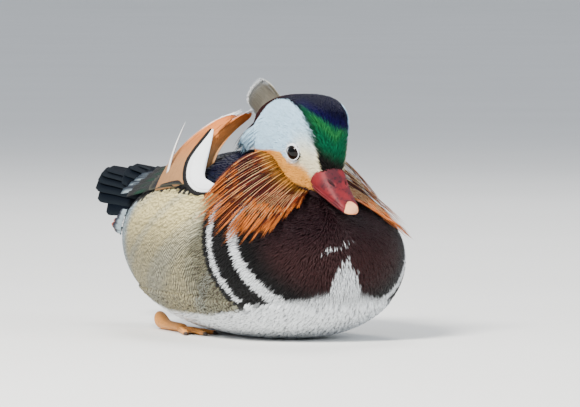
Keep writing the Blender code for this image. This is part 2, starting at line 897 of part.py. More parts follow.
def wisp(name, controls, facing, half_width, thick, parts, cover=None, lift=0.0, steps=3):
    """A tapered lock along the curve of its controls and clear of what it covers."""
    path = curve_points(controls, steps)
    if cover is not None:
        path = [path[0]] + [cover.lifted(p, lift) for p in path[1:]]
    facings = [facing(p) if callable(facing) else facing for p in path[:-1]]
    widths = []
    for k in range(steps):
        swell = math.sin(math.pi / 2 * min(k / steps / WISP_FULL_AT, 2))
        widths.append(half_width * (WISP_ROOT_WIDTH + (1 - WISP_ROOT_WIDTH) * swell))
    widths[-1] *= WISP_END_WIDTH
    return lock(name, path, facings, widths, thick, parts)


def add_ruff(ruff, side, torso, neck, rng, parts, cutters):
    """The whisker feathers that fan from the cheek over the breast."""
    cover = Clearance([torso, neck])
    roots = [head_point(side * p[0], p[1], p[2]) for p in RUFF_ROOTS]
    tips = mirrored(RUFF_TIPS, side)
    pieces = []
    for tier, (count, reach, lift) in enumerate(RUFF_TIERS):
        for k in range(count):
            t = (k + 0.5 * (tier % 2)) / (count - 0.5)
            root = blend(roots, t)
            tip = root.lerp(blend(tips, t), reach * rng.uniform(*RUFF_REACH_RANGE))
            tip += stray(rng, (1, 1, 1)) * RUFF_STRAY
            out = outward(root.lerp(tip, 0.5)) + RUFF_RISE_UP
            rise = RUFF_RISE * (1 - RUFF_RISE_LESS * t)
            curve = (root, root.lerp(tip, RUFF_RISE_AT) + out * rise, tip)
            pieces.append(wisp("lock", curve, outward, RUFF_HALF, LOCK_THICK, parts, cover, lift * MM))
    fuse(ruff, pieces, cutters)


def add_crest(crest, torso, neck, rng, parts, cutters):
    """The long feathers that sweep back from the crown over the nape."""
    cover = Clearance([torso, neck])
    turn = HEAD_FRAME.to_3x3()
    pieces = []
    for count, spread, root_row, tip_row in CREST_TIERS:
        for k in range(count):
            a = 2 * k / (count - 1) - 1
            fall = a * a
            root_across, tip_across = a * spread * CREST_ROOT_SPREAD, a * spread
            root = head_point(root_across, root_row[0], root_row[1] - CREST_ROOT_FALL * fall)
            tip_forward = tip_row[0] + CREST_TIP_SHORTER * fall
            tip = head_point(tip_across, tip_forward, tip_row[1] - CREST_TIP_FALL * fall)
            tip += stray(rng, CREST_STRAY) * MM
            wide, back, up, droop = CREST_BOW
            high_forward = 0.5 * (root_row[0] + tip_row[0]) + back
            high = head_point(tip_across * wide, high_forward, root_row[1] + up + droop * fall)
            facing = turn @ Vector((CREST_FACING[0] * a, CREST_FACING[1], CREST_FACING[2]))
            curve = (root, high, tip)
            pieces.append(feather("plume", curve, facing, CREST_HALF, parts, cover, CREST_LIFT, 3))
    fuse(crest, pieces, cutters)


def build_wing(side, torso, bodies, rng, parts, cutters):
    """The folded wing above the flank: its body, the secondaries and the primaries."""
    wing = ball("wing_" + SIDE_NAMES[side], 1.0, WING_SIDES, WING_RINGS, parts)
    wing.data.transform(
        Matrix.Translation(Vector((side * WING_PLACE[0], WING_PLACE[1], WING_PLACE[2])) * MM)
        @ Matrix.Rotation(side * WING_LEAN, 4, "Y")
        @ Matrix.Rotation(side * WING_CONVERGE, 4, "Z")
        @ Matrix.Diagonal((*(Vector(WING_RADII) * MM), 1))
    )
    cover = Clearance([torso, wing])
    pieces = []
    for roots, tips, count, half, lift in WING_ROWS:
        root_run, tip_run = mirrored(roots, side), mirrored(tips, side)
        for k in range(count):
            t = k / (count - 1)
            root, tip = root_run[0].lerp(root_run[1], t), tip_run[0].lerp(tip_run[1], t)
            tip += stray(rng, WING_STRAY) * MM
            root = cover.lifted(root, 0) - outward(root) * WING_SINK
            curve = (root, root.lerp(tip, 0.5), tip)
            pieces.append(feather("vane", curve, outward, half * MM, parts, cover, lift * MM, 3))
    fuse(wing, pieces, cutters)
    trim(wing, bodies, parts, cutters)
    return wing


def build_scapulars(side, bodies, parts, cutters):
    """The white black-edged feathers that stand between the shoulder and the sail."""
    body = ball("scapulars_" + SIDE_NAMES[side], 1.0, SMALL_SIDES, SMALL_RINGS, parts)
    place = Vector((side * SCAPULAR_ROOT[0], SCAPULAR_ROOT[1], SCAPULAR_ROOT[2])) * MM
    body.data.transform(
        Matrix.Translation(place)
        @ Matrix.Rotation(side * SCAPULAR_LEAN, 4, "Y")
        @ Matrix.Diagonal((*(Vector(SCAPULAR_RADII) * MM), 1))
    )
    facing = Vector((side * SCAPULAR_FACING[0], SCAPULAR_FACING[1], SCAPULAR_FACING[2]))
    pieces = []
    for controls, half in SCAPULAR_VANES:
        path = mirrored(controls, side)
        pieces.append(
            feather("vane", path, facing, half * MM, parts, steps=SCAPULAR_STEPS, waist=SCAPULAR_WAIST)
        )
    fuse(body, pieces, cutters)
    trim(body, bodies, parts, cutters)
    return body


def build_sail(side, bodies, parts, cutters):
    """The raised sail of the inner wing: broad barbs that fan from the ridge at its root."""
    roots, waists, tips = (mirrored(run, side) for run in SAIL_RUNS[side])
    ridge = [blend(roots, k / SAIL_BASE_STEPS) for k in range(SAIL_BASE_STEPS + 1)]
    facings = [outward(place) for place in ridge]
    halves = [SAIL_BASE_HALF] * SAIL_BASE_STEPS
    base = lock("sail_" + SIDE_NAMES[side], ridge, facings, halves, SAIL_BASE_THICK, parts)
    pieces = []
    for k in range(SAIL_VANES):
        t = k / (SAIL_VANES - 1)
        root, waist, tip = blend(roots, t), blend(waists, t), blend(tips, t)
        across = blend(waists, t + SAIL_SPREAD) - blend(waists, t - SAIL_SPREAD)
        facing = across.cross(tip - root) * side
        lift = facing.normalized() * (SAIL_OVERLAP if k % 2 else -SAIL_OVERLAP)
        curve = (root, waist + lift, tip + lift)
        pieces.append(feather("vane", curve, facing, SAIL_HALF, parts, steps=3, waist=SAIL_WAIST))
    fuse(base, pieces, cutters)
    trim(base, bodies, parts, cutters)
    return base


def build_tail(bodies, rng, parts, cutters):
    """The tail: a roof of long feathers, the coverts above them and those below."""
    tail = ball("tail", 1.0, TAIL_SIDES, TAIL_RINGS, parts)
    tail.data.transform(
        Matrix.Translation(Vector(TAIL_ROOT) * MM) @ Matrix.Diagonal((*(Vector(TAIL_RADII) * MM), 1))
    )
    pieces = []
    for count, half, root_row, tip_row in TAIL_ROWS:
        for k in range(count):
            a = 2 * k / (count - 1) - 1
            across, along, up, droop = root_row
            root = Vector((a * across, along, up - droop * a * a)) * MM
            across, along, up, droop, shorter = tip_row
            tip = Vector((a * across, along - shorter * a**4, up - droop * a * a)) * MM
            tip += stray(rng, TAIL_STRAY) * MM
            middle = root.lerp(tip, 0.5) + Vector((0, 0, TAIL_BOW + TAIL_OVERLAP * (k % 2))) * MM
            facing = Vector((TAIL_FACING[0] * a, TAIL_FACING[1], TAIL_FACING[2]))
            curve = (root, middle, tip)
            pieces.append(feather("vane", curve, facing, half * MM, parts, steps=3, waist=TAIL_WAIST))
    fuse(tail, pieces, cutters)
    trim(tail, bodies, parts, cutters)
    return tail


def build_plume(side, bodies, parts, cutters):
    """The long flank plumes with orange tips beside the tail."""
    body = ball("rump_plume_" + SIDE_NAMES[side], 1.0, SMALL_SIDES, SMALL_RINGS, parts)
    place = Vector((side * PLUME_ROOT[0], PLUME_ROOT[1], PLUME_ROOT[2])) * MM
    body.data.transform(
        Matrix.Translation(place)
        @ Matrix.Rotation(-side * PLUME_TURN, 4, "Z")
        @ Matrix.Diagonal((*(Vector(PLUME_RADII) * MM), 1))
    )
    pieces = []
    for tip in mirrored(PLUME_TIPS, side):
        middle = place.lerp(tip, PLUME_BOW_AT) + Vector((side * PLUME_BOW, 0, 0))
        facing = Vector((side * PLUME_FACING[0], PLUME_FACING[1], PLUME_FACING[2]))
        pieces.append(feather("vane", (place, middle, tip), facing, PLUME_HALF, parts))
    fuse(body, pieces, cutters)
    trim(body, bodies, parts, cutters)
    return body


def build_foot(side, torso, parts, cutters):
    """A foot tucked beside the belly: the shank, three toes with webs between them and a hind toe."""
    place = Matrix.Translation(Vector((side * FOOT_PLACE[0], FOOT_PLACE[1], 0)) * MM)
    place = place @ Matrix.Rotation(side * FOOT_TURN, 4, "Z")
    foot = loft("foot_" + SIDE_NAMES[side], SHANK_ROWS, SHANK_SIDES, ROUND, parts, place)
    pieces = []
    for angle, length in TOES:
        turn = place @ Matrix.Rotation(side * math.radians(angle), 4, "Z")
        rows = [(-along * length, half, low, mid, high) for along, half, low, mid, high in TOE_ROWS]
        pieces.append(loft("toe", rows, TOE_SIDES, ROUND, parts, turn))
    web = []
    for angle, length in TOES:
        turn = Matrix.Rotation(side * math.radians(angle), 4, "Z")
        web.append(turn @ Vector((0, -WEB_REACH * length, 0)))
    notches = [a.lerp(b, 0.5) * WEB_NOTCH for a, b in zip(web, web[1:])]
    outline = [Vector((0, 0, 0)), web[0], notches[0], web[1], notches[1], web[2]]
    points = [place @ ((p + Vector((0, 0, z))) * MM) for z in WEB_LEVELS for p in outline]
    n = len(outline)
    faces = [tuple(range(n)), tuple(range(n, 2 * n))]
    faces += [(k, (k + 1) % n, n + (k + 1) % n, n + k) for k in range(n)]
    pieces.append(mesh_object("web", points, faces, parts))
    fuse(foot, pieces, None)
    boolean(foot, half_space((0, 0, 0), (0, 0, 1), parts), "DIFFERENCE")
    trim(foot, [torso], parts, cutters)
    return foot


def finish(parts):
    """Give each node its colour and smooth its round forms."""
    for name, (colour, roughness) in FINISHES.items():
        obj = bpy.data.objects[name]
        obj.data.materials.clear()
        obj.data.materials.append(material(name + "_finish", colour, roughness))
        obj.data.shade_smooth()


def main():
    """Build the bird."""
    clear_scene()
    parts = new_collection("mandarin_drake")
    cutters = new_collection("cutters")
    rng = random.Random(SEED)
    torso = build_torso(parts)
    head = build_head_loft(parts)
    bill = build_bill(head, parts)
    neck = build_neck(torso, head, parts)
    trim(head, [torso], parts, cutters)
    add_lids(head, parts)
    eyes = [build_eye(side, parts) for side in (RIGHT, LEFT)]
    flatten_belly(torso, parts)
    crest, ruffs = part_head(head, parts)
    for side in (RIGHT, LEFT):
        add_ruff(ruffs[side], side, torso, neck, rng, parts, cutters)
        trim(ruffs[side], [torso, neck, head, *bill, *eyes, crest], parts, cutters)
    trim(ruffs[LEFT], [ruffs[RIGHT]], parts, cutters)
    add_crest(crest, torso, neck, rng, parts, cutters)
    trim(crest, [torso, neck, head, *ruffs.values()], parts, cutters)
    done = [torso, neck, head, crest, *ruffs.values()]
    for side in (RIGHT, LEFT):
        build_foot(side, torso, parts, cutters)
    wings = []
    for side in (RIGHT, LEFT):
        wings.append(build_wing(side, torso, [*done, *wings], rng, parts, cutters))
    done += wings
    for side in (RIGHT, LEFT):
        done.append(build_scapulars(side, done, parts, cutters))
        done.append(build_sail(side, done, parts, cutters))
    done.append(build_tail(done, rng, parts, cutters))
    for side in (RIGHT, LEFT):
        build_plume(side, done, parts, cutters)
    for cutter in list(cutters.objects):
        bpy.data.objects.remove(cutter, do_unlink=True)
    finish(parts)


main()
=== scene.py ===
"""Looks of the mandarin drake, a still life-size model that sits on its belly.

The bird faces -Y, its left side is +X and +Z is up, with the floor at zero. Sizes are in
millimetres and become metres when a mesh is made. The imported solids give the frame, and every
piece here stands for the solids that it names.
"""

from __future__ import annotations

import logging
import math
from dataclasses import dataclass, field
from enum import Enum
from typing import Callable, Sequence

import bmesh
import bpy
import numpy as np
from mathutils import Matrix, Vector
from mathutils.bvhtree import BVHTree


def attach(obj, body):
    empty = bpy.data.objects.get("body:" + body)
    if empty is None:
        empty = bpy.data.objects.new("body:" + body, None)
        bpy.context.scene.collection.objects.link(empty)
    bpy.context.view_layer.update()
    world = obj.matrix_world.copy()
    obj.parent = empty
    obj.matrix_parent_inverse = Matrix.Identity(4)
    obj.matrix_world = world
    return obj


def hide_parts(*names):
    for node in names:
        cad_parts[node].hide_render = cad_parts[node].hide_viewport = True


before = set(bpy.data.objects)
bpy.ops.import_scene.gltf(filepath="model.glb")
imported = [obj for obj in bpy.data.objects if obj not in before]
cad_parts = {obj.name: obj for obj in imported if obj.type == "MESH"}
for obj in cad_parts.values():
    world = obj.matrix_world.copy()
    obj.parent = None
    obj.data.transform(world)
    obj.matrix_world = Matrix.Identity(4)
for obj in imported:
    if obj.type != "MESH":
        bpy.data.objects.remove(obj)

LOG = logging.getLogger("drake")
MM = 0.001
SEED = 11
BODY = "root"
BAKE_PATCH = 0.003
FLOOR_CLEARANCE = 0.25
HALF_WIDTH = 69.9
CELL_PRIMES = np.array((73856093, 19349663, 83492791))
# Places across a broad feather's vane.
COLUMNS = np.array((-1, -0.72, -0.42, -0.14, 0.0, 0.14, 0.42, 0.72, 1.0))

Rows = Sequence[Sequence[float]]
Random = np.random.Generator
Array = np.ndarray
Faces = list[tuple[int, ...]]
Rule = Callable[[Array], Array]
Lie = Callable[[Array, Array], Array]
Paint = Callable[[Array, Array, Array], Array]
Vectors = tuple[Array, Array, Array]

# The flesh of the solids, repeated here because the skin is made from it. Each row is along, half
# width, low, widest level and high.
TORSO_ROWS = (
    (-100, 0, 48, 48, 48),
    (-96, 27, 28, 48, 64),
    (-83, 47, 13, 48, 77),
    (-60, 63, 2.5, 48, 90),
    (-30, 69, -1.5, 48, 104),
    (5, 70, -1.5, 49, 113),
    (45, 67, 1.0, 51, 109),
    (81, 59, 9, 55, 99),
    (110, 45, 24, 59, 91),
    (131, 27, 45, 66, 85),
    (144, 0, 72, 72, 72),
)
HEAD_ROWS = (
    (-23, 0, -11, -11, -11),
    (-21.5, 8.2, -18, -8, -1),
    (-17, 10.0, -21, 4, 13.5),
    (-9, 14.8, -24.5, 13, 27.5),
    (2, 20.0, -27, 14, 31),
    (15, 23.6, -28, 11, 30.5),
    (28, 23.6, -28, 5, 26.5),
    (41, 18.4, -24, 1, 18.5),
    (51, 11.5, -17, -1, 10),
    (57, 0, -3, -3, -3),
)
TORSO_POWERS = (2.1, 2.1)
HEAD_POWERS = (2.2, 3.2)
NECK_PLACE = (1.0, -36.0, 94.0)
NECK_RADII = (20.0, 26.0, 17.0)
HEAD_PLACE = Vector((3, -56, 113))
HEAD_TURN = math.radians(7)
HEAD_NOD = math.radians(19)
HEAD_FRAME = (
    Matrix.Translation(HEAD_PLACE)
    @ Matrix.Rotation(HEAD_TURN, 4, "Z")
    @ Matrix.Rotation(HEAD_NOD, 4, "X")
)
HEAD_AXES = np.array(HEAD_FRAME.to_3x3())
HEAD_ORIGIN = np.array(HEAD_PLACE)
EYE_OUT = 14.6
EYE_FORWARD_TURN = math.radians(12)


class Side(Enum):
    """The bird's own sides."""

    RIGHT = -1
    LEFT = 1

    @property
    def word(self) -> str:
        """The side's name as the nodes spell it."""
        return self.name.lower()

    @property
    def flip(self) -> Array:
        """Turns places given for the left side to this side."""
        return np.array((self.value, 1, 1))


class Part(Enum):
    """Which lie and markings a stretch of plumage follows."""

    BODY = "body"
    HEAD = "head"


def linear(red: int, green: int, blue: int) -> Array:
    """A colour given in screen values, as linear light."""
    value = np.array((red, green, blue)) / 255
    return np.where(value <= 0.04045, value / 12.92, ((value + 0.055) / 1.055) ** 2.4)


def smooth_step(low: float | Array, high: float | Array, value: Array) -> Array:
    """0 below the low edge and 1 above the high one, eased between."""
    t = np.clip((value - low) / (high - low), 0, 1)
    return t * t * (3 - 2 * t)


def mix(first: Array, second: Array, share: Array | float) -> Array:
    """Colours between two, by a share for each row."""
    share = np.asarray(share, float)
    if share.ndim:
        share = share[..., None]
    return first * (1 - share) + second * share


def unit(vectors: Array) -> Array:
    """The vectors at length one."""
    return vectors / np.maximum(np.linalg.norm(vectors, axis=-1, keepdims=True), 1e-9)


def tangent(directions: Array, normals: Array) -> Array:
    """The directions laid into the surface."""
    return unit(directions - normals * np.sum(directions * normals, axis=-1, keepdims=True))


def to_head(points: Array) -> Array:
    """World millimetres in the head's own frame: across, back and up."""
    return (points - HEAD_ORIGIN) @ HEAD_AXES


def from_head(points: Array) -> Array:
    """The head's own frame in world millimetres."""
    return points @ HEAD_AXES.T + HEAD_ORIGIN


def smooth_rows(rows: Rows, steps: int) -> Array:
    """A smooth run through rows of a body, which ends in the first and last of them.

    Args:
        rows: Along, half width, low, widest level and high. A row of no width is a pole.
        steps: How many rows each gap becomes.

    Returns:
        The finer rows.
    """

    def beyond(end: Sequence[float], inner: Sequence[float]) -> Array:
        if end[1] == 0:
            return np.array((inner[0], -inner[1], inner[4], inner[3], inner[2]))
        return 2 * np.array(end) - np.array(inner)

    run = [beyond(rows[0], rows[1]), *map(np.array, rows), beyond(rows[-1], rows[-2])]
    found = []
    for a, b, c, d in zip(run, run[1:], run[2:], run[3:]):
        for step in range(steps):
            t = step / steps
            bend = (2 * a - 5 * b + 4 * c - d) * t * t + (3 * b - a - 3 * c + d) * t**3
            found.append(0.5 * (2 * b + (c - a) * t + bend))
    return np.array([*found, np.array(rows[-1], float)])


def eye_offset(local: Array) -> Array:
    """How far places in the head's frame lie from the nearer eye's line of sight."""
    found = np.full(len(local), 99.0)
    for side in Side:
        axis = np.array((side.value * math.cos(EYE_FORWARD_TURN), -math.sin(EYE_FORWARD_TURN), 0))
        away = local - np.array((side.value * EYE_OUT, 0.0, 0.0))
        outside = away @ axis
        off = np.linalg.norm(away - np.outer(outside, axis), axis=1)
        found = np.where(outside > 0, np.minimum(found, off), found)
    return found


def blend(values: Array, t: Array | float) -> Array:
    """Values on the smooth run through a list, also a little past its ends.

    Args:
        values: The stops, one row each.
        t: Where to read, 0 at the first stop and 1 at the last.

    Returns:
        One row for each t.
    """
    values = np.asarray(values, float)
    t = np.atleast_1d(np.asarray(t, float))
    place = t * (len(values) - 1)
    k = np.clip(np.floor(place).astype(int), 0, len(values) - 2)
    f = (place - k)[:, None]
    a, b = values[k], values[k + 1]
    behind, ahead = values[np.maximum(k - 1, 0)], values[np.minimum(k + 2, len(values) - 1)]
    bend = (2 * behind - 5 * a + 4 * b - ahead) * f * f + (3 * a - behind - 3 * b + ahead) * f**3
    inside = 0.5 * (2 * a + (b - behind) * f + bend)
    return np.where((f < 0) | (f > 1), a + (b - a) * f, inside)


def bezier(controls: Sequence[Array], stations: Array) -> Array:
    """Points along many curves at once.

    Args:
        controls: The control points, each an array with one row for each curve.
        stations: Where along each curve, from 0 to 1.

    Returns:
        An array of curves, stations and coordinates.
    """
    level = [np.asarray(c, float)[:, None, :] for c in controls]
    t = np.asarray(stations, float)
    t = t[None, :, None] if t.ndim == 1 else t[:, :, None]
    while len(level) > 1:
        level = [a * (1 - t) + b * t for a, b in zip(level, level[1:])]
    return level[0]


def mesh_from_arrays(name: str, points: Array, corners: Array, sizes: Array) -> bpy.types.Mesh:
    """A mesh from flat arrays, in millimetres.

    Args:
        name: The mesh's name.
        points: The vertices.
        corners: The vertex of each corner of each face in turn.
        sizes: How many corners each face has.

    Returns:
        The mesh, in metres.
    """
    mesh = bpy.data.meshes.new(name)
    mesh.vertices.add(len(points))
    mesh.loops.add(len(corners))
    mesh.polygons.add(len(sizes))
    mesh.vertices.foreach_set("co", (points * MM).astype(np.float32).ravel())
    mesh.loops.foreach_set("vertex_index", corners.astype(np.int32))
    starts = np.concatenate(([0], np.cumsum(sizes)[:-1]))
    mesh.polygons.foreach_set("loop_start", starts.astype(np.int32))
    mesh.update(calc_edges=True)
    mesh.shade_smooth()
    return mesh


def loft_arrays(rows: Array, sides: int, powers: tuple[float, float]) -> tuple[Array, Faces]:
    """A closed body through superellipse sections that stand across the length.

    Args:
        rows: Along, half width, low, widest level and high.
        sides: How many points a section has.
        powers: The squareness of the lower and the upper half.

    Returns:
        The vertices in millimetres and the faces.
    """
    angles = 2 * np.pi * np.arange(sides) / sides
    c, s = np.cos(angles), np.sin(angles)
    power = np.where(s > 0, powers[1], powers[0])
    cross, rise = (np.sign(v) * np.abs(v) ** (2 / power) for v in (c, s))
    points, faces, rings = [], [], []
    for along, half, low, widest, high in rows:
        start = len(points)
        if half < 1e-6:
            rings.append([start])
            points.append((0, along, widest))
            continue
        reach = np.where(s > 0, high - widest, widest - low)
        rings.append(list(range(start, start + sides)))
        points += list(zip(half * cross, np.full(sides, along), widest + reach * rise))
    for a, b in zip(rings, rings[1:]):
        for k in range(sides):
            n = (k + 1) % sides
            if len(a) == 1:
                faces.append((a[0], b[k], b[n]))
            elif len(b) == 1:
                faces.append((a[n], a[k], b[0]))
            else:
                faces.append((a[n], a[k], b[k], b[n]))
    faces += [tuple(ring) for ring in (rings[0], rings[-1][::-1]) if len(ring) > 1]
    return np.array(points, float), faces


def ball_arrays(places: Array, widths: Array, sides: int) -> tuple[Array, Faces]:
    """A ball of radius one, through sections of given widths at places along Y."""
    rows = [(-1, 0, 0, 0, 0), *((r, w, -w, 0, w) for r, w in zip(places, widths)), (1, 0, 0, 0, 0)]
    return loft_arrays(np.array(rows, float), sides, (2, 2))


def joined(bodies: Sequence[tuple[Array, Faces]]) -> tuple[Array, Faces]:
    """Several bodies as one set of points and faces."""
    faces, total = [], 0
    for points, own in bodies:
        faces += [tuple(v + total for v in face) for face in own]
        total += len(points)
    return np.concatenate([points for points, _ in bodies]), faces


def placed(points: Array, matrix: Matrix) -> Array:
    """Points carried by a matrix."""
    full = np.array(matrix)
    return points @ full[:3, :3].T + full[:3, 3]


def mesh_from_faces(name: str, points: Array, faces: Faces) -> bpy.types.Mesh:
    """A smooth mesh from points in millimetres and faces."""
    corners = np.array([v for face in faces for v in face])
    return mesh_from_arrays(name, points, corners, np.array([len(face) for face in faces]))


def plain_mesh(name: str, points: Array, faces: Faces) -> bpy.types.Mesh:
    """A smooth mesh from points in millimetres and faces, which are turned outwards."""
    mesh = mesh_from_faces(name, points, faces)
    work = bmesh.new()
    work.from_mesh(mesh)
    bmesh.ops.recalc_face_normals(work, faces=work.faces)
    if work.calc_volume(signed=True) < 0:
        bmesh.ops.reverse_faces(work, faces=work.faces)
    work.to_mesh(mesh)
    work.free()
    return mesh


def store(mesh: bpy.types.Mesh, name: str, values: Array) -> None:
    """Keep three values on each vertex as a colour attribute."""
    full = np.c_[values, np.ones(len(values))].astype(np.float32)
    mesh.color_attributes.new(name, "FLOAT_COLOR", "POINT").data.foreach_set("color", full.ravel())


def new_object(name: str, data: bpy.types.ID) -> bpy.types.Object:
    """An object at the origin that shows a mesh, camera or light."""
    made = bpy.data.objects.new(name, data)
    bpy.context.scene.collection.objects.link(made)
    return made


def evaluated_mesh(obj: bpy.types.Object) -> bpy.types.Mesh:
    """The mesh of an object with its modifiers applied."""
    graph = bpy.context.evaluated_depsgraph_get()
    return bpy.data.meshes.new_from_object(obj.evaluated_get(graph))


def hand_over(obj: bpy.types.Object, nodes: Sequence[str] = ()) -> bpy.types.Object:
    """Let a piece ride on the body, and hide the solids that it stands for."""
    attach(obj, BODY)
    if nodes:
        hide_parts(*nodes)
    return obj


class Value:
    """A shader socket that takes part in expressions."""

    def __init__(self, shader: Shader, socket: bpy.types.NodeSocket) -> None:
        self.shader = shader
        self.socket = socket

    def _with(self, operation: str, *operands: Value | float) -> Value:
        """A Math node on this socket and the operands."""
        return self.shader.maths(operation, self, *operands)

    def __add__(self, other: Value | float) -> Value:
        """Sum."""
        return self._with("ADD", other)

    __radd__ = __add__

    def __mul__(self, other: Value | float) -> Value:
        """Product."""
        return self._with("MULTIPLY", other)

    __rmul__ = __mul__

    def __sub__(self, other: Value | float) -> Value:
        """Difference."""
        return self._with("SUBTRACT", other)

    def __rsub__(self, other: Value | float) -> Value:
        """Difference the other way round."""
        return self.shader.maths("SUBTRACT", other, self)

    def __pow__(self, other: Value | float) -> Value:
        """Power."""
        return self._with("POWER", other)

    def __abs__(self) -> Value:
        """Size without sign."""
        return self._with("ABSOLUTE")

    def sine(self) -> Value:
        """Sine."""
        return self._with("SINE")


class Shader:
    """One material's nodes, written as expressions."""

    def __init__(self, name: str) -> None:
        self.material = bpy.data.materials.new(name)
        self.material.use_nodes = True
        self.tree = self.material.node_tree
        self.surface = self.tree.nodes["Principled BSDF"]

    def node(
        self,
        kind: str,
        settings: dict[str, object] | None = None,
        sockets: dict[str | int, object] | None = None,
        out: int | str = 0,
    ) -> Value:
        """Add one node.

        Args:
            kind: The node's type, without its common prefix.
            settings: Properties of the node, set first. A ramp's stops go under "stops".
            sockets: Values or links of its inputs, by name or number.
            out: The output to read.

        Returns:
            The output, for use in expressions.
        """
        made = self.tree.nodes.new("ShaderNode" + kind)
        for key, setting in (settings or {}).items():
            if key == "stops":
                self._set_stops(made, setting)
            else:
                setattr(made, key, setting)
        for key, given in (sockets or {}).items():
            self.join(given, made.inputs[key])
        return Value(self, made.outputs[out])

    @staticmethod
    def _set_stops(ramp: bpy.types.Node, stops: Sequence[tuple[float, Sequence[float]]]) -> None:
        """Set a colour ramp's stops."""
        elements = ramp.color_ramp.elements
        while len(elements) < len(stops):
            elements.new(0.5)
        for element, (place, colour) in zip(elements, stops):
            element.position = place
            element.color = (*colour, 1)

    def join(self, given: object, socket: bpy.types.NodeSocket) -> None:
        """Link a value to a socket, or set it there."""
        if isinstance(given, Value):
            self.tree.links.new(given.socket, socket)
        elif isinstance(given, (tuple, list, np.ndarray)):
            numbers = tuple(float(v) for v in given)
            socket.default_value = numbers if len(numbers) == len(socket.default_value) else (*numbers, 1)
        else:
            socket.default_value = given

    def maths(self, operation: str, *operands: Value | float) -> Value:
        """A Math node."""
        return self.node("Math", {"operation": operation}, dict(enumerate(operands)))

    def colours(self, first: object, second: object, share: object, way: str = "MIX") -> Value:
        """A Mix node on two colours."""
        settings = {"data_type": "RGBA", "blend_type": way}
        return self.node("Mix", settings, {0: share, 6: first, 7: second}, 2)

    def scaled(self, colour: object, shade: Value) -> Value:
        """A colour made lighter or darker."""
        return self.node("VectorMath", {"operation": "SCALE"}, {0: colour, "Scale": shade})

    def ramp(self, factor: Value, stops: Sequence[tuple[float, Sequence[float]]]) -> Value:
        """A colour ramp."""
        return self.node("ValToRGB", {"stops": stops}, {"Fac": factor})

    def step(self, value: Value, low: float, high: float) -> Value:
        """A smooth step from the low to the high edge."""
        sockets = {"Value": value, "From Min": low, "From Max": high}
        return self.node("MapRange", {"interpolation_type": "SMOOTHSTEP"}, sockets)

    def noise(self, scale: float, detail: float = 3.0, place: Value | None = None) -> Value:
        """Cloudy noise on the piece's own coordinates."""
        place = place or self.object_place()
        return self.node("TexNoise", None, {"Vector": place, "Scale": scale, "Detail": detail})

    def object_place(self) -> Value:
        """The piece's own coordinates."""
        return self.node("TexCoord", None, None, "Object")

    def attribute(self, name: str, out: str = "Color") -> Value:
        """An attribute of the mesh."""
        return self.node("Attribute", {"attribute_name": name}, None, out)

    def parts(self, value: Value, kind: str = "SeparateColor") -> tuple[Value, Value, Value]:
        """The three channels of a colour or vector."""
        made = self.node(kind, None, {0: value}).socket.node
        return tuple(Value(self, made.outputs[k]) for k in range(3))

    def bump(self, height: Value, strength: float, distance: float) -> None:
        """Feed a height into the surface's normal."""
        sockets = {"Height": height, "Strength": strength, "Distance": distance}
        self.join(self.node("Bump", None, sockets), self.surface.inputs["Normal"])

    def finish(self, **sockets: object) -> bpy.types.Material:
        """Set the surface's sockets, by their names with underscores for spaces."""
        for key, given in sockets.items():
            self.join(given, self.surface.inputs[key.replace("_", " ")])
        return self.material


@dataclass(frozen=True)
class PlumageFinish:
    """Feathers: the markings come from the mesh, the barbs from each vane's own map."""

    name: str
    roughness: float = 0.62
    barbs: float = 16.0
    slant: float = 9.0
    barb_shade: float = 0.12
    edge_shade: float = 0.2
    cloud: float = 0.16
    wave: float = 300.0
    bar_colour: tuple[float, float, float] = (0.07, 0.055, 0.035)
    relief: float = 0.0001
    specular: float = 0.22

    def material(self) -> bpy.types.Material:
        """Make the material."""
        shader = Shader(self.name)
        colour = shader.attribute("Plumage")
        bars, gloss, chance = shader.parts(shader.attribute("Traits"))
        vane = shader.node("UVMap", {"uv_map": "Vane"}, None)
        across, along, _ = shader.parts(vane, "SeparateXYZ")
        off = abs(across - 0.5) * 2.0
        cloud = shader.noise(240.0, 4.0)
        turn = (along * self.barbs - off * (self.slant * 0.1) * self.barbs + chance * 7.0) * (2 * math.pi)
        barb = turn.sine() * 0.5 + 0.5
        shade = 1.0 - barb * self.barb_shade - (off**2.0) * self.edge_shade
        shade = shade * ((1.0 - self.cloud) + cloud * (2 * self.cloud))
        wave = {"Vector": shader.object_place(), "Scale": self.wave, "Distortion": 12.0}
        wave |= {"Detail": 1.5, "Detail Scale": 0.25}
        ripple = shader.node("TexWave", {"bands_direction": "DIAGONAL"}, wave)
        barred = shader.colours(colour, self.bar_colour, shader.step(ripple, 0.4, 0.8) * bars)
        shader.bump(barb * (1.0 - off * 0.5), 0.4, self.relief)
        return shader.finish(
            Base_Color=shader.scaled(barred, shade),
            Roughness=self.roughness - gloss * 0.25 + cloud * 0.08,
            Metallic=gloss * 0.3,
            Specular_IOR_Level=self.specular,
        )


@dataclass(frozen=True)
class SkinFinish:
    """The skin under the feathers, which carries the same markings in down."""

    name: str = "down_finish"

    def material(self) -> bpy.types.Material:
        """Make the material."""
        shader = Shader(self.name)
        down = shader.noise(900.0, 4.0)
        colour = shader.scaled(shader.attribute("Plumage"), 0.6 + down * 0.35)
        shader.bump(down, 0.6, 0.0004)
        return shader.finish(Base_Color=colour, Roughness=0.85, Specular_IOR_Level=0.2)


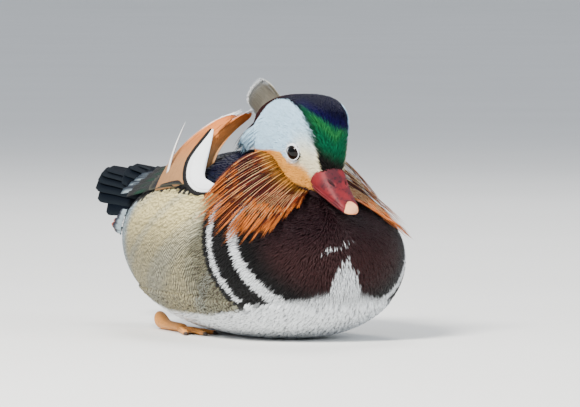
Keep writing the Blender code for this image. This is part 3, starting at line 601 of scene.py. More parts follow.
@dataclass(frozen=True)
class BillFinish:
    """Horny skin of the bill, crimson with deeper stains, and painted shade in the nostrils and in the groove
    along the edge.
    """

    name: str
    colour: Array
    deep: Array
    stain_and_shade: Array
    roughness: float = 0.54

    def material(self) -> bpy.types.Material:
        """Make the material."""
        shader = Shader(self.name)
        place = shader.object_place()
        broad = shader.noise(110.0, 5.0, place)
        fine = shader.noise(620.0, 4.0, place)
        # The traits mark the groove along the edge and the nostrils, both painted dark as shade.
        edge, shaded_hollow, _ = shader.parts(shader.attribute("Traits"))
        base = shader.colours(self.colour, self.deep, shader.step(broad, 0.4, 0.62))
        spots = shader.step(fine, 0.52, 0.66) * shader.step(broad, 0.42, 0.56)
        stained = shader.colours(base, self.stain_and_shade, spots * 0.75)
        # The nostrils are painted in the near-black mottling colour, as shade inside them.
        shaded = shader.colours(stained, self.stain_and_shade, shaded_hollow)
        shader.bump(fine + broad * 2.0, 0.35, 0.0003)
        # The groove along the edge is painted halfway to the deep colour, as shade in the groove.
        return shader.finish(
            Base_Color=shader.colours(shaded, self.deep, edge * 0.5),
            Roughness=self.roughness + fine * 0.16,
            Specular_IOR_Level=0.35,
        )


@dataclass(frozen=True)
class EyeFinish:
    """A dark brown iris round a black pupil, under a wet cornea."""

    name: str = "eye_finish"

    def material(self) -> bpy.types.Material:
        """Make the material."""
        shader = Shader(self.name)
        out, _, _ = shader.parts(shader.attribute("Traits"))
        pupil, iris, rim = (0.001, 0.001, 0.001), (0.006, 0.003, 0.002), (0.003, 0.002, 0.002)
        stops = ((0.0, pupil), (0.5, pupil), (0.58, iris), (0.86, rim), (0.95, pupil))
        return shader.finish(Base_Color=shader.ramp(out, stops), Roughness=0.03, Specular_IOR_Level=0.2)


@dataclass(frozen=True)
class ScalyFinish:
    """Bare skin of the feet and lids: fine scales in the mesh's own colours."""

    name: str
    scale: float = 900.0
    roughness: float = 0.5

    def material(self) -> bpy.types.Material:
        """Make the material."""
        shader = Shader(self.name)
        cells = shader.node("TexVoronoi", None, {"Vector": shader.object_place(), "Scale": self.scale})
        cloud = shader.noise(200.0, 3.0)
        shade = 0.72 + cloud * 0.4 - cells * 0.25
        colour = shader.scaled(shader.attribute("Plumage"), shade)
        shader.bump(1.0 - cells, 0.5, 0.00025)
        return shader.finish(Base_Color=colour, Roughness=self.roughness + cloud * 0.1)


@dataclass(frozen=True)
class FloorFinish:
    """A plain pale floor."""

    name: str = "floor_finish"

    def material(self) -> bpy.types.Material:
        """Make the material."""
        shader = Shader(self.name)
        cloud = shader.noise(3.0, 2.0)
        colour = shader.ramp(cloud, ((0.3, (0.80, 0.80, 0.78)), (0.7, (0.83, 0.83, 0.81))))
        return shader.finish(Base_Color=colour, Roughness=0.7)


class Markings:
    """The colours of the plumage, worked out from the place on the bird, with painted light and shade in
    places.
    """

    blue_white = linear(192, 230, 255)
    white = linear(244, 248, 252)
    cream = linear(246, 236, 200)
    buff = linear(244, 170, 70)
    orange = linear(196, 82, 20)
    rust = linear(142, 36, 8)
    maroon = linear(36, 14, 20)
    # A lighter maroon, used as a painted sheen on the breast.
    maroon_sheen = linear(60, 32, 32)
    black = linear(12, 11, 13)
    navy = linear(6, 6, 36)
    # A dark blue-green, for the tips of wing and crest feathers and as a painted sheen on mantle and tail.
    teal_and_sheen = linear(14, 30, 44)
    purple = linear(14, 9, 60)
    emerald = linear(8, 90, 60)
    # A yellow-green, used only for the painted highlight on the crown.
    glint_green = linear(70, 150, 60)
    nape = linear(46, 14, 12)
    gold = linear(216, 200, 142)
    grey = linear(134, 132, 108)
    # A pale blue-grey: the silvery primaries and the roots of the rump plumes, painted shade on the pale rear
    # flank, its folds and the coverts under the tail, and a painted highlight on the tail's edges.
    blue_grey_shade_and_sheen = linear(146, 162, 170)
    slate = linear(20, 26, 38)
    olive = linear(40, 38, 36)

    band_edge = (
        (-22, -20, -18.5, -16.5, -14.5, -11.6, -8.4, -4.9, 0.3, 5.8, 16, 21),
        (5.5, 7.6, 8.4, 9.4, 10.5, 12.0, 13.6, 15.0, 16.0, 16.8, 16.4, 17),
    )
    far_edge = (
        (-22, -20.2, -18.5, -16.1, -13.6, -9.5, -5.8, 0, 6, 16, 21),
        (4.4, 6.1, 7.2, 8.7, 9.5, 10.7, 11.6, 13.0, 14.5, 16.0, 17.0),
    )
    crown_floor = ((-22, -20, -18, -17, -15, -12, -9, 0, 20), (-9, -5.5, -1, 2, 6, 10, 12.5, 14, 14))
    nape_edge = (
        (-16, -9, -4, 1.4, 6.2, 11.2, 17.1, 21.1, 24.2, 26.4, 30),
        (60, 48, 43.5, 40, 36.8, 33.3, 29.6, 27.5, 25.1, 22.3, 18),
    )
    cheek_edge = (
        (-20, -15, -10, -5, 0, 3, 5, 7, 14, 22, 31, 45),
        (-20, -13, -7.5, -6.2, -5.8, -5.4, -4.6, -2.6, -4.0, -6.9, -10, -14),
    )
    flank_top = ((-45, -30, 50, 61, 90, 110, 140), (86.5, 86.5, 87.5, 82.5, 75, 70, 73))
    belly_top = ((-99, -90, -60, -20, 40, 80, 110, 140), (33, 27, 20, 16, 16, 25, 41, 67))

    @classmethod
    def crown(cls, local: Array) -> Array:
        """The share of crown colour at places in the head's own frame."""
        x, y, z = local.T
        edge = np.where(x < 0, np.interp(y, *cls.band_edge), np.interp(y, *cls.far_edge))
        above = smooth_step(-0.8, 0.8, z - np.interp(y, *cls.crown_floor))
        band = smooth_step(0.4, -0.4, np.abs(x) - edge) * above
        back = smooth_step(-0.5, 0.5, y - np.interp(z, *cls.nape_edge))
        return np.maximum(band, back)

    @classmethod
    def head(cls, points: Array) -> Vectors:
        """The markings of the head.

        Args:
            points: World millimetres.

        Returns:
            Colours, how strongly barred and how glossy each place is.
        """
        local = to_head(points)
        x, y, z = local.T
        width = np.abs(x)
        level = np.interp(y, *cls.cheek_edge)
        soft = np.where(y < 3, 3.4, 0.8)
        cheek = smooth_step(-soft, soft, level - z)
        creamy = smooth_step(4, -8, y) * smooth_step(20, -4, z)
        face = mix(cls.blue_white, cls.cream, creamy)
        deep = smooth_step(-14, -24, z) * 0.3 + smooth_step(8, 22, y) * 0.6
        colour = mix(face, mix(cls.buff, cls.orange, np.clip(deep, 0, 1)), cheek)
        rim = smooth_step(-14.5, -17.5, y) * smooth_step(-19, -14, z)
        colour = mix(colour, cls.cream, rim * 0.9)
        ring = eye_offset(local)
        colour = mix(colour, cls.white, smooth_step(6.2, 5.4, ring))
        # Dark maroon under the bill: partly dark feathers below the chin, partly painted shadow cast by the
        # bill.
        throat_and_shadow = smooth_step(-17.5, -19.5, z) * smooth_step(14, 11, width)
        colour = mix(colour, cls.maroon, throat_and_shadow)
        crown = cls.crown(local)
        sweep = z + np.where(x < 0, 0.6, 0.25) * x
        green = mix(cls.olive * 0.5, cls.emerald, smooth_step(-4, 5, sweep))
        # A band of lighter yellow-green across the crown, a painted highlight.
        glint = np.exp(-(((z - 12.8 - 0.85 * width) / 3.4) ** 2)) * smooth_step(15, 11, width)
        green = mix(green, cls.glint_green, glint * 0.28)
        top = mix(green, cls.purple, np.maximum(smooth_step(16, 20, sweep), smooth_step(-3, 6, y)))
        top = mix(top, cls.navy, np.maximum(smooth_step(20, 26, sweep), smooth_step(2, 10, y)))
        top = mix(top, cls.nape, smooth_step(16, 27, y))
        edge = smooth_step(2.0, 0.4, np.interp(y, *cls.band_edge) - width) * smooth_step(24, 18, y)
        top = mix(top, cls.black, edge * 0.6)
        colour = mix(colour, top, crown)
        return colour, np.zeros_like(x), crown * smooth_step(30, 14, y)

    @classmethod
    def body(cls, points: Array) -> Vectors:
        """The markings of the trunk.

        Args:
            points: World millimetres.

        Returns:
            Colours, how strongly barred and how glossy each place is.
        """
        x, y, z = points.T
        width = np.abs(x)
        front = -59.4 + (z - 66) * 0.52
        rear = -42.3 + (z - 66) * 0.465
        front_half = np.interp(z, (30, 44, 50, 56, 62, 66, 84), (4.0, 3.5, 3.0, 2.6, 2.8, 2.7, 1.8))
        rear_half = np.interp(z, (30, 46, 52, 58, 66, 84), (2.3, 2.2, 2.1, 2.2, 2.1, 1.5))
        # The lower front of the breast is painted lighter, a painted sheen on the maroon.
        light = mix(cls.maroon, cls.maroon_sheen, smooth_step(70, 46, z) * smooth_step(-40, -84, y) * 0.7)
        colour = mix(light, cls.black, smooth_step(front - 22, front - 7, y))
        white_bars = np.maximum(
            smooth_step(0.5, -0.5, np.abs(y - front) - front_half),
            smooth_step(0.5, -0.5, np.abs(y - rear) - rear_half),
        )
        colour = mix(colour, cls.white, white_bars * smooth_step(88, 80, z) * smooth_step(20, 34, width))
        flank = smooth_step(rear + 6.0, rear + 7.5, y)
        # Low on the flank the colour turns grey and dull, painted shade on the lower flank; it also turns
        # grey towards the front.
        grey_and_low_shade = smooth_step(72, 46, z) * 0.7 + smooth_step(-12, -36, y) * 0.8
        side = mix(cls.gold, cls.grey, np.clip(grey_and_low_shade, 0, 1))
        # Broad diagonal bands of dull blue-grey, painted shade in the folds of the flank's plumage.
        fold = np.sin(0.11 * y + 0.16 * z + 1.1 * np.sin(0.07 * z + 0.05 * y))
        side = mix(side, cls.blue_grey_shade_and_sheen * 0.8, smooth_step(0.1, 1.0, fold) * 0.3)
        # The pale rear of the flank is painted blue-grey, as in shade.
        side = mix(side, cls.blue_grey_shade_and_sheen, smooth_step(66, 84, y))
        colour = mix(colour, side, flank)
        barred = flank * smooth_step(80, 62, z) * (0.7 + 0.3 * smooth_step(66, 50, z))
        ragged = 1.6 * np.sin(0.9 * y + 2.0 * np.sin(0.23 * y))
        level = np.interp(y, *cls.flank_top) + ragged
        above = smooth_step(-0.6, 0.4, z - level) * smooth_step(-46, -40, y)
        # The lower part of the mantle is painted blue-green, a painted sheen.
        mantle = mix(cls.navy, cls.teal_and_sheen, smooth_step(104, 90, z) * 0.6)
        back = mix(mantle, cls.olive, smooth_step(24, 44, y))
        back = mix(back, cls.slate, smooth_step(78, 96, y))
        colour = mix(colour, back, above)
        colour = mix(colour, cls.black, above * smooth_step(6.5, 4.0, z - level))
        barred = barred * (1 - above)
        below = smooth_step(1.5, -1.5, z - np.interp(y, *cls.belly_top))
        streaks = 3.2 * np.sin(2.3 * x + np.sin(3.1 * x)) + 2.0 * np.sin(5.1 * x)
        patch = smooth_step(-84, -90, y) * smooth_step(1, -1, z - (48 - ((x - 1) / 10) ** 2 * 15 + streaks))
        flecks = smooth_step(1.3, 0.5, np.abs(z - (57.8 + 0.27 * x))) * smooth_step(0.2, 0.7, np.sin(4.4 * x))
        flecks = flecks * smooth_step(-80, -86, y) * smooth_step(-17, -14, x) * smooth_step(8, 5, x)
        pale = np.maximum(np.maximum(below, patch), flecks)
        colour = mix(colour, cls.white, pale)
        barred = barred * (1 - pale)
        gloss = (1 - flank) * (1 - white_bars) * 0.3 + above * 0.35
        return colour, barred, gloss * (1 - below)

    @classmethod
    def anywhere(cls, points: Array) -> Vectors:
        """The markings of the whole bird, head or trunk by the place."""
        on_head = Skin.on_head(points)
        pairs = zip(cls.head(points), cls.body(points))
        return tuple(np.where(on_head[:, None] if a.ndim > 1 else on_head, a, b) for a, b in pairs)


class Skin:
    """One closed skin for head, neck and trunk, with the surface that the feathers grow on."""

    voxel = 1.5
    body_depth = 2.3
    head_depth = 1.1
    belly_level = 0.9
    head_margin = 1.25
    head_back, head_front = -24, 57
    nodes = ("torso", "neck", "head")

    def __init__(self) -> None:
        self.obj = self._build()
        self.tree = self._surface()

    @staticmethod
    def on_head(points: Array) -> Array:
        """Whether each place lies on the head rather than the trunk."""
        x, y, z = to_head(points).T
        rows = smooth_rows(HEAD_ROWS, 2)
        half = np.maximum(np.interp(y, rows[:, 0], rows[:, 1]), 0.1)
        low, level, high = (np.interp(y, rows[:, 0], rows[:, k]) for k in (2, 3, 4))
        upper = z > level
        reach = np.maximum(np.where(upper, high - level, level - low), 0.1)
        power = np.where(upper, HEAD_POWERS[1], HEAD_POWERS[0])
        spread = (np.abs(x) / half) ** power + (np.abs(z - level) / reach) ** power
        return (spread < Skin.head_margin) & (y > Skin.head_back) & (y < Skin.head_front)

    def _flesh(self) -> bpy.types.Object:
        """The closed forms of trunk, head and neck in one mesh, still crossing."""
        torso = loft_arrays(smooth_rows(TORSO_ROWS, 4), 64, TORSO_POWERS)
        head, head_faces = loft_arrays(smooth_rows(HEAD_ROWS, 4), 64, HEAD_POWERS)
        rings = np.linspace(-1, 1, 25)[1:-1]
        neck, neck_faces = ball_arrays(rings, np.sqrt(1 - rings**2), 26)
        bodies = (torso, (from_head(head), head_faces), (neck * NECK_RADII + NECK_PLACE, neck_faces))
        return new_object("skin", plain_mesh("skin", *joined(bodies)))

    @staticmethod
    def _relax(work: bmesh.types.BMesh, times: int) -> None:
        """Smooth the mesh a number of times."""
        for _ in range(times):
            bmesh.ops.smooth_vert(
                work, verts=work.verts, factor=0.5, use_axis_x=True, use_axis_y=True, use_axis_z=True
            )

    def _build(self) -> bpy.types.Object:
        """Melt the forms into one skin and draw it in by the depth of the coat."""
        obj = self._flesh()
        melt = obj.modifiers.new("melt", "REMESH")
        melt.mode = "VOXEL"
        melt.voxel_size = self.voxel * MM
        mesh = evaluated_mesh(obj)
        obj.modifiers.clear()
        work = bmesh.new()
        work.from_mesh(mesh)
        self._relax(work, 4)
        work.normal_update()
        places = np.array([v.co for v in work.verts]) / MM
        depth = np.where(self.on_head(places), self.head_depth, self.body_depth)
        for vertex, drop in zip(work.verts, depth):
            vertex.co -= vertex.normal * float(drop) * MM
            vertex.co.z = max(vertex.co.z, self.belly_level * MM)
        self._relax(work, 3)
        work.to_mesh(mesh)
        work.free()
        mesh.shade_smooth()
        obj.data = mesh
        return obj

    def _surface(self) -> BVHTree:
        """The skin as a search tree in millimetres, and its triangles for scattering."""
        mesh = self.obj.data
        mesh.calc_loop_triangles()

        def read(owner: bpy.types.bpy_prop_collection, key: str, kind: type) -> Array:
            values = np.empty(len(owner) * 3, kind)
            owner.foreach_get(key, values)
            return values.reshape(-1, 3)

        self.points = read(mesh.vertices, "co", float) / MM
        self.normals = read(mesh.vertices, "normal", float)
        self.triangles = read(mesh.loop_triangles, "vertices", np.int32)
        a, b, c = (self.points[self.triangles[:, k]] for k in range(3))
        self.areas = 0.5 * np.linalg.norm(np.cross(b - a, c - a), axis=1)
        return BVHTree.FromPolygons(self.points.tolist(), self.triangles.tolist(), all_triangles=True)

    def scatter(self, spacing: float, where: Rule, rng: Random) -> tuple[Array, Array]:
        """Even random places on part of the skin.

        Args:
            spacing: The least room of one place, in millimetres.
            where: Says which places are wanted.
            rng: The random draw.

        Returns:
            The places and the skin's normals there.
        """
        count = int(self.areas.sum() / spacing**2 * 5)
        chosen = rng.choice(len(self.areas), count, p=self.areas / self.areas.sum())
        shares = rng.dirichlet((1, 1, 1), count)
        corners = self.triangles[chosen]
        places = np.einsum("nk,nkc->nc", shares, self.points[corners])
        normals = unit(np.einsum("nk,nkc->nc", shares, self.normals[corners]))
        wanted = where(places)
        places, normals = places[wanted], normals[wanted]
        cells = np.floor(places / spacing).astype(np.int64)
        keys = np.bitwise_xor.reduce(cells * CELL_PRIMES, axis=1)
        first = np.sort(np.unique(keys, return_index=True)[1])
        return places[first], normals[first]

    def nearest(self, places: Array) -> tuple[Array, Array]:
        """The skin's nearest place and normal for each place."""
        found = [self.tree.find_nearest(place) for place in places.tolist()]
        return np.array([f[0] for f in found]), np.array([f[1] for f in found])

    def ups(self, paths: Array) -> Array:
        """The skin's normals nearest to each point of paths."""
        return self.nearest(paths.reshape(-1, 3))[1].reshape(paths.shape)

    def lift(self, places: Array, clearance: Array | float) -> Array:
        """Move places out until they clear the skin."""
        shape = places.shape
        flat = places.reshape(-1, 3)
        ground, normals = self.nearest(flat)
        height = np.sum((flat - ground) * normals, axis=1)
        need = np.maximum(np.broadcast_to(clearance, shape[:-1]).reshape(-1) - height, 0)
        return (flat + normals * need[:, None]).reshape(shape)

    def comb(
        self, roots: Array, normals: Array, lengths: Array, stations: Array, lie: Lie
    ) -> tuple[Array, Array]:
        """Lay a path along the skin from each root.

        Args:
            roots: Where the tufts grow.
            normals: The skin's normals there.
            lengths: How long each tuft is.
            stations: The shares of the length at which the path is kept, from 0.
            lie: The way that the plumage lies at places with normals.

        Returns:
            The paths on the skin and the normals along them.
        """
        paths, ups = [roots], [normals]
        for before, after in zip(stations, stations[1:]):
            way = tangent(lie(paths[-1], ups[-1]), ups[-1])
            step = paths[-1] + way * (lengths * (after - before))[:, None]
            ground, up = self.nearest(step)
            paths.append(ground)
            ups.append(unit(up * 0.7 + ups[-1] * 0.3))
        return np.stack(paths, 1), np.stack(ups, 1)

    def dress(self) -> None:
        """Give the skin its markings and hand it over."""
        store(self.obj.data, "Plumage", Markings.anywhere(self.points)[0])
        self.obj.data.materials.append(SkinFinish().material())
        hand_over(self.obj, self.nodes)
        LOG.info("skin: %d vertices", len(self.points))


def directions(paths: Array, ups: Array) -> Vectors:
    """The ways ahead, aside and above at each station of paths."""
    ahead = unit(np.gradient(paths, axis=1))
    aside = unit(np.cross(ahead, ups))
    return ahead, aside, unit(np.cross(aside, ahead))


def traits_for(rng: Random, count: int, gloss: float) -> Array:
    """Bars, gloss and a random chance for each of a number of feathers."""
    return np.stack([np.zeros(count), np.full(count, gloss), rng.uniform(0, 1, count)], 1)


@dataclass
class Gathering:
    """Feathers gathered as arrays until they are made one mesh."""

    name: str
    kept: dict[str, list[Array]] = field(default_factory=dict)
    total: int = 0

    def _store(self, faces: Array, sizes: Array, traits: Array, **layers: Array) -> None:
        """Keep one batch: its layers have a row of vertices for each feather."""
        count, each = layers["points"].shape[:2]
        shift = (np.arange(count) * each)[:, None] + self.total
        rows = {key: values.reshape(-1, values.shape[-1]) for key, values in layers.items()}
        rows |= {"corners": (faces[None, :] + shift).ravel(), "sizes": np.tile(sizes, count)}
        rows |= {"Traits": np.repeat(traits, each, 0)}
        for key, values in rows.items():
            self.kept.setdefault(key, []).append(values)
        self.total += count * each

    def locks(
        self,
        paths: Array,
        ups: Array,
        halves: Array,
        thick: Array,
        colours: Array,
        traits: Array,
        roots: Array,
        ridge: Array | None = None,
    ) -> None:
        """Add tapered locks with a ridge, flat below.

        Args:
            paths: Curves, stations and coordinates. The last station is the tip.
            ups: The way up at each station.
            halves: Half the width at each station but the last.
            thick: The ridge's height at each station but the last.
            colours: One colour for each station of each lock.
            traits: Bars, gloss and chance of each lock.
            roots: The bake place of each lock.
            ridge: The ridge's colours, where they differ.
        """
        count, rows = paths.shape[:2]
        _, aside, above = directions(paths, ups)
        body = slice(0, rows - 1)
        wide, high = aside[:, body] * halves[:, :, None], above[:, body] * thick[:, :, None]
        middle = paths[:, body]
        rings = np.stack([middle - wide, middle + high, middle + wide], 2)
        points = np.concatenate([rings.reshape(count, -1, 3), paths[:, -1:]], 1)
        crest = colours if ridge is None else ridge
        tints = np.stack([colours[:, body], crest[:, body], colours[:, body]], 2)
        tints = np.concatenate([tints.reshape(count, -1, 3), crest[:, -1:]], 1)
        along = np.linspace(0, 1, rows)
        vane = np.array([(u, v) for v in along[:-1] for u in (0, 0.5, 1)] + [(0.5, 1)])
        vane = np.broadcast_to(vane, (count, len(vane), 2))
        faces, sizes = [0, 2, 1], [3]
        for k in range(rows - 2):
            a, b = 3 * k, 3 * (k + 1)
            faces += [a + 1, a + 2, b + 2, b + 1, a, a + 1, b + 1, b, a + 2, a, b, b + 2]
            sizes += [4, 4, 4]
        a, tip = 3 * (rows - 2), 3 * (rows - 1)
        faces += [a + 1, a + 2, tip, a, a + 1, tip, a + 2, a, tip]
        sizes += [3, 3, 3]
        bake = roots[:, None, :] + (vane - 0.5) * BAKE_PATCH
        faces, sizes = np.array(faces), np.array(sizes)
        self._store(faces, sizes, traits, points=points, Vane=vane, OFBake=bake, Plumage=tints)

    def plates(
        self,
        paths: Array,
        ups: Array,
        halves: Array,
        camber: float,
        thick: float,
        colours: Paint,
        traits: Array,
        cells: Array,
        cell: float,
    ) -> None:
        """Add broad feathers: closed thin plates with a shaft along the middle.

        Args:
            paths: Curves, stations and coordinates.
            ups: The way up at each station.
            halves: Half the width at each station.
            camber: How far the edges bend down, as a share of the half width.
            thick: The vane's thickness at the shaft.
            colours: The colour by the place across, along and the point.
            traits: Bars, gloss and chance of each feather.
            cells: The bake place of each feather's corner.
            cell: The bake size of each feather.
        """
        count, rows = paths.shape[:2]
        _, aside, above = directions(paths, ups)
        wide = halves[:, :, None] * COLUMNS
        middle = paths[:, :, None, :] + aside[:, :, None, :] * wide[..., None]
        middle = middle - above[:, :, None, :] * (np.abs(wide) * np.abs(COLUMNS) * camber)[..., None]
        along = np.linspace(0, 1, rows)
        edge = thick * (0.22 + 0.78 * np.maximum(1 - np.abs(COLUMNS) * 2.5, 0))
        lift = above[:, :, None, :] * edge[None, None, :, None] * 0.5
        top, bottom = (middle + lift).reshape(count, -1, 3), (middle - lift).reshape(count, -1, 3)
        points = np.concatenate([top, bottom], 1)
        wide_count = len(COLUMNS)
        half = rows * wide_count
        faces = []
        for r in range(rows - 1):
            for c in range(wide_count - 1):
                a = r * wide_count + c
                b = a + wide_count
                faces.append((a, a + 1, b + 1, b))
                faces.append((half + a + 1, half + a, half + b, half + b + 1))
        grid = np.arange(half).reshape(rows, wide_count)
        rim = [*grid[0], *grid[1:, -1], *grid[-1, -2::-1], *grid[-2:0:-1, 0]]
        faces += [(b, a, half + a, half + b) for a, b in zip(rim, rim[1:] + rim[:1])]
        vane = np.stack(np.meshgrid((COLUMNS + 1) / 2, along), 2).reshape(-1, 2)
        vane = np.broadcast_to(np.concatenate([vane, vane]), (count, 2 * half, 2))
        lower = np.concatenate([np.zeros((half, 2)), np.tile((0.5, 0.0), (half, 1))])
        bake = cells[:, None, :] + (vane * (0.47, 0.94) + lower + 0.015) * cell
        tints = colours(vane[..., 0] * 2 - 1, vane[..., 1], points)
        faces, sizes = np.array(faces).ravel(), np.full(len(faces), 4)
        self._store(faces, sizes, traits, points=points, Vane=vane, OFBake=bake, Plumage=tints)

    def piece(self, finish: PlumageFinish, nodes: Sequence[str] = ()) -> bpy.types.Object:
        """Make the mesh, dress it and hand it over.

        Args:
            finish: The plumage's finish.
            nodes: The solids that it stands for.

        Returns:
            The piece.
        """
        kept = {key: np.concatenate(rows) for key, rows in self.kept.items()}
        points, corners, sizes = kept["points"], kept["corners"], kept["sizes"]
        points[:, 2] = np.maximum(points[:, 2], FLOOR_CLEARANCE)
        points[:, 0] = np.clip(points[:, 0], -HALF_WIDTH, HALF_WIDTH)
        mesh = mesh_from_arrays(self.name, points, corners, sizes)
        for layer in ("OFBake", "Vane"):
            uv = mesh.uv_layers.new(name=layer)
            uv.uv.foreach_set("vector", kept[layer][corners].astype(np.float32).ravel())
        for layer in ("Plumage", "Traits"):
            store(mesh, layer, kept[layer])
        mesh.materials.append(finish.material())
        LOG.info("%s: %d triangles", self.name, int((sizes - 2).sum()))
        return hand_over(new_object(self.name, mesh), nodes)


def body_unwrap(points: Array) -> Array:
    """The trunk's own unwrap: the turn round its long axis and the place along it."""
    turn = np.arctan2(points[:, 0], points[:, 2] - 52) / (2 * np.pi) + 0.5
    return np.stack([0.02 + 0.96 * turn, 0.02 + 0.96 * (points[:, 1] + 105) / 255], 1)


def head_unwrap(points: Array) -> Array:
    """The head's own unwrap, made as the trunk's is."""
    x, y, z = to_head(points).T
    turn = np.arctan2(x, z) / (2 * np.pi) + 0.5
    return np.stack([0.02 + 0.96 * turn, 0.02 + 0.96 * np.clip((y + 26) / 90, 0, 1)], 1)


def body_lie(points: Array, normals: Array) -> Array:
    """The way that the trunk's feathers lie: from the neck down and back to the tail."""
    way = unit(points - np.array((0, -40, 106)))
    return way * 0.9 + np.array((0, 1.0, 0))


def head_lie(points: Array, normals: Array) -> Array:
    """The way that the head's feathers lie: back from the bill and round the eyes."""
    local = to_head(points)
    way = unit(local - np.array((0, -19, -9)))
    down = smooth_step(0, -14, local[:, 2])[:, None]
    way = way * 0.6 + np.array((0, 1.0, 0)) + np.array((0, 0, -0.55)) * down
    for side in Side:
        away = local - np.array((side.value * EYE_OUT * 1.25, 0.0, 0.0))
        gap = np.linalg.norm(away, axis=1, keepdims=True)
        way = way + unit(away) * 1.6 * np.exp(-((gap / 7.5) ** 4))
    return way @ HEAD_AXES.T


class Tip(Enum):
    """How a small feather ends: where its stations lie and how wide it is at each."""

    POINTED = ((0.0, 0.3, 0.68, 1.0), (0.7, 1.0, 0.7))
    ROUNDED = ((0.0, 0.3, 0.7, 0.92, 1.0), (0.7, 1.0, 0.95, 0.6))


@dataclass(frozen=True)
class Tract:
    """One stretch of small feathers: where they grow, and their sizes in millimetres."""

    name: str
    part: Part
    where: Rule
    spacing: float
    length: float
    half: float
    rise: float
    tip: Tip = Tip.POINTED
    slot: str = "body_plumage"
    roughness: float = 0.62
    tint: float = 0.08
    stray: float = 0.07
    ridge: float = 0.3
    # How dark each lock's edges are painted, as shade between the locks.
    edge: float = 0.2
    # How dark each lock's root is painted, as shade under the locks over it.
    shade: float = 0.72
    vary: float = 0.22
    specular: float = 0.22

    def grow(self, skin: Skin, rng: Random) -> bpy.types.Object:
        """Grow the tract's feathers on the skin.

        Args:
            skin: The surface they grow on.
            rng: The random draw.

        Returns:
            The piece.
        """
        stations, widths = (np.array(v) for v in self.tip.value)
        roots, normals = skin.scatter(self.spacing, self.where, rng)
        count = len(roots)
        lengths = self.length * rng.uniform(0.8, 1.2, count)
        base = body_lie if self.part is Part.BODY else head_lie
        turn = rng.normal(0, self.stray, count)[:, None]

        def lie(points: Array, ups: Array) -> Array:
            way = unit(base(points, ups))
            return way + np.cross(ups, way) * turn

        paths, ups = skin.comb(roots, normals, lengths, stations, lie)
        rise = self.rise * rng.uniform(1 - self.vary, 1 + self.vary, count)
        heights = -0.35 + (rise + 0.35)[:, None] * np.minimum(stations * 1.25, 1.0) ** 0.8
        heights[:, -1] = rise * 0.92
        seen = paths[:, -2] if self.part is Part.BODY else paths[:, 1]
        paint = Markings.body if self.part is Part.BODY else Markings.head
        colour, bars, gloss = paint(seen + rng.normal(0, 0.15, seen.shape))
        paths = paths + ups * heights[:, :, None]
        halves = self.half * rng.uniform(0.8, 1.2, count)[:, None] * widths
        tone = 1 + rng.uniform(-self.tint, self.tint, count)
        # Each lock is painted dark towards its root, as shade under the locks that lie over it.
        shade = np.linspace(self.shade, 1.05, len(stations))
        colours = colour[:, None] * tone[:, None, None] * shade[None, :, None]
        traits = np.stack([bars, gloss, rng.uniform(0, 1, count)], 1)
        unwrap = body_unwrap if self.part is Part.BODY else head_unwrap
        coat = Gathering(self.name)
        coat.locks(paths, ups, halves, halves * self.ridge, colours, traits, unwrap(roots))
        finish = PlumageFinish(
            self.name + "_finish",
            roughness=self.roughness,
            barbs=self.length,
            edge_shade=self.edge,
            specular=self.specular,
        )
        return coat.piece(finish)


class Coat:
    """The small feathers of head and trunk, tract by tract."""

    lid_gap = 4.9
    breast_back = -34.0
    flank_low = 24.0
    flank_high = 91.0

    def _trunk(self, side: Side, front: bool) -> Rule:
        """Says which places lie on one side's breast or flank."""

        def rule(points: Array) -> Array:
            x, y, z = points.T
            inside = (z > self.flank_low) & (x * side.value >= 0) & ~Skin.on_head(points)
            if front:
                return inside & (y < self.breast_back)
            return inside & (y >= self.breast_back) & (z <= self.flank_high)

        return rule

    def _face(self, side: Side) -> Rule:
        """Says which places lie on one side's face and cheek."""

        def rule(points: Array) -> Array:
            local = to_head(points)
            clear = (eye_offset(local) >= self.lid_gap) & (local[:, 0] * side.value >= 0)
            return Skin.on_head(points) & clear & (Markings.crown(local) <= 0.5)

        return rule

    def _crown(self, points: Array) -> Array:
        """Says which places lie on the crown."""
        return Skin.on_head(points) & (Markings.crown(to_head(points)) > 0.5)

    def _mantle(self, points: Array) -> Array:
        """Says which places lie on the back."""
        return ~Skin.on_head(points) & (points[:, 1] >= self.breast_back) & (points[:, 2] > self.flank_high)

    def _belly(self, points: Array) -> Array:
        """Says which places lie on the underside."""
        return points[:, 2] <= self.flank_low + 3

    def tracts(self) -> list[Tract]:
        """All the stretches, with their sizes."""
        back = dict(roughness=0.6, tint=0.05, ridge=0.08, vary=0.1, specular=0.1)
        crown = dict(slot="crown_plumage", roughness=0.72, edge=0.3, tint=0.28, specular=0.06)
        breast = dict(roughness=0.46, shade=0.6, specular=0.2)
        flank = dict(tint=0.03, ridge=0.03, edge=0.05, shade=0.98, vary=0.08)
        face = dict(slot="face_plumage", tint=0.04, edge=0.1, shade=0.88)
        body, head, rounded = Part.BODY, Part.HEAD, Tip.ROUNDED
        found = [
            Tract("mantle", body, self._mantle, 1.7, 9.0, 1.6, 1.5, rounded, **back),
            Tract("belly", body, self._belly, 2.0, 9.0, 1.5, 1.6, rounded),
            Tract("crown", head, self._crown, 0.8, 5.5, 0.36, 1.0, **crown),
        ]
        for side in Side:
            word, front, rear = "_" + side.word, self._trunk(side, True), self._trunk(side, False)
            found += [
                Tract("breast" + word, body, front, 1.06, 5.4, 0.48, 1.4, **breast),
                Tract("flank" + word, body, rear, 1.8, 13.0, 2.2, 0.8, rounded, **flank),
                Tract("face" + word, head, self._face(side), 0.72, 3.4, 0.32, 0.75, **face),
            ]
        return found

    def build(self, skin: Skin, rng: Random) -> None:
        """Grow every tract."""
        for tract in self.tracts():
            tract.grow(skin, rng)


def cells_for(count: int) -> tuple[Array, float]:
    """Bake places in a square grid, one for each of a number of feathers."""
    side = math.ceil(math.sqrt(count))
    order = np.arange(count)
    return np.stack([order % side, order // side], 1) / side, 1 / side


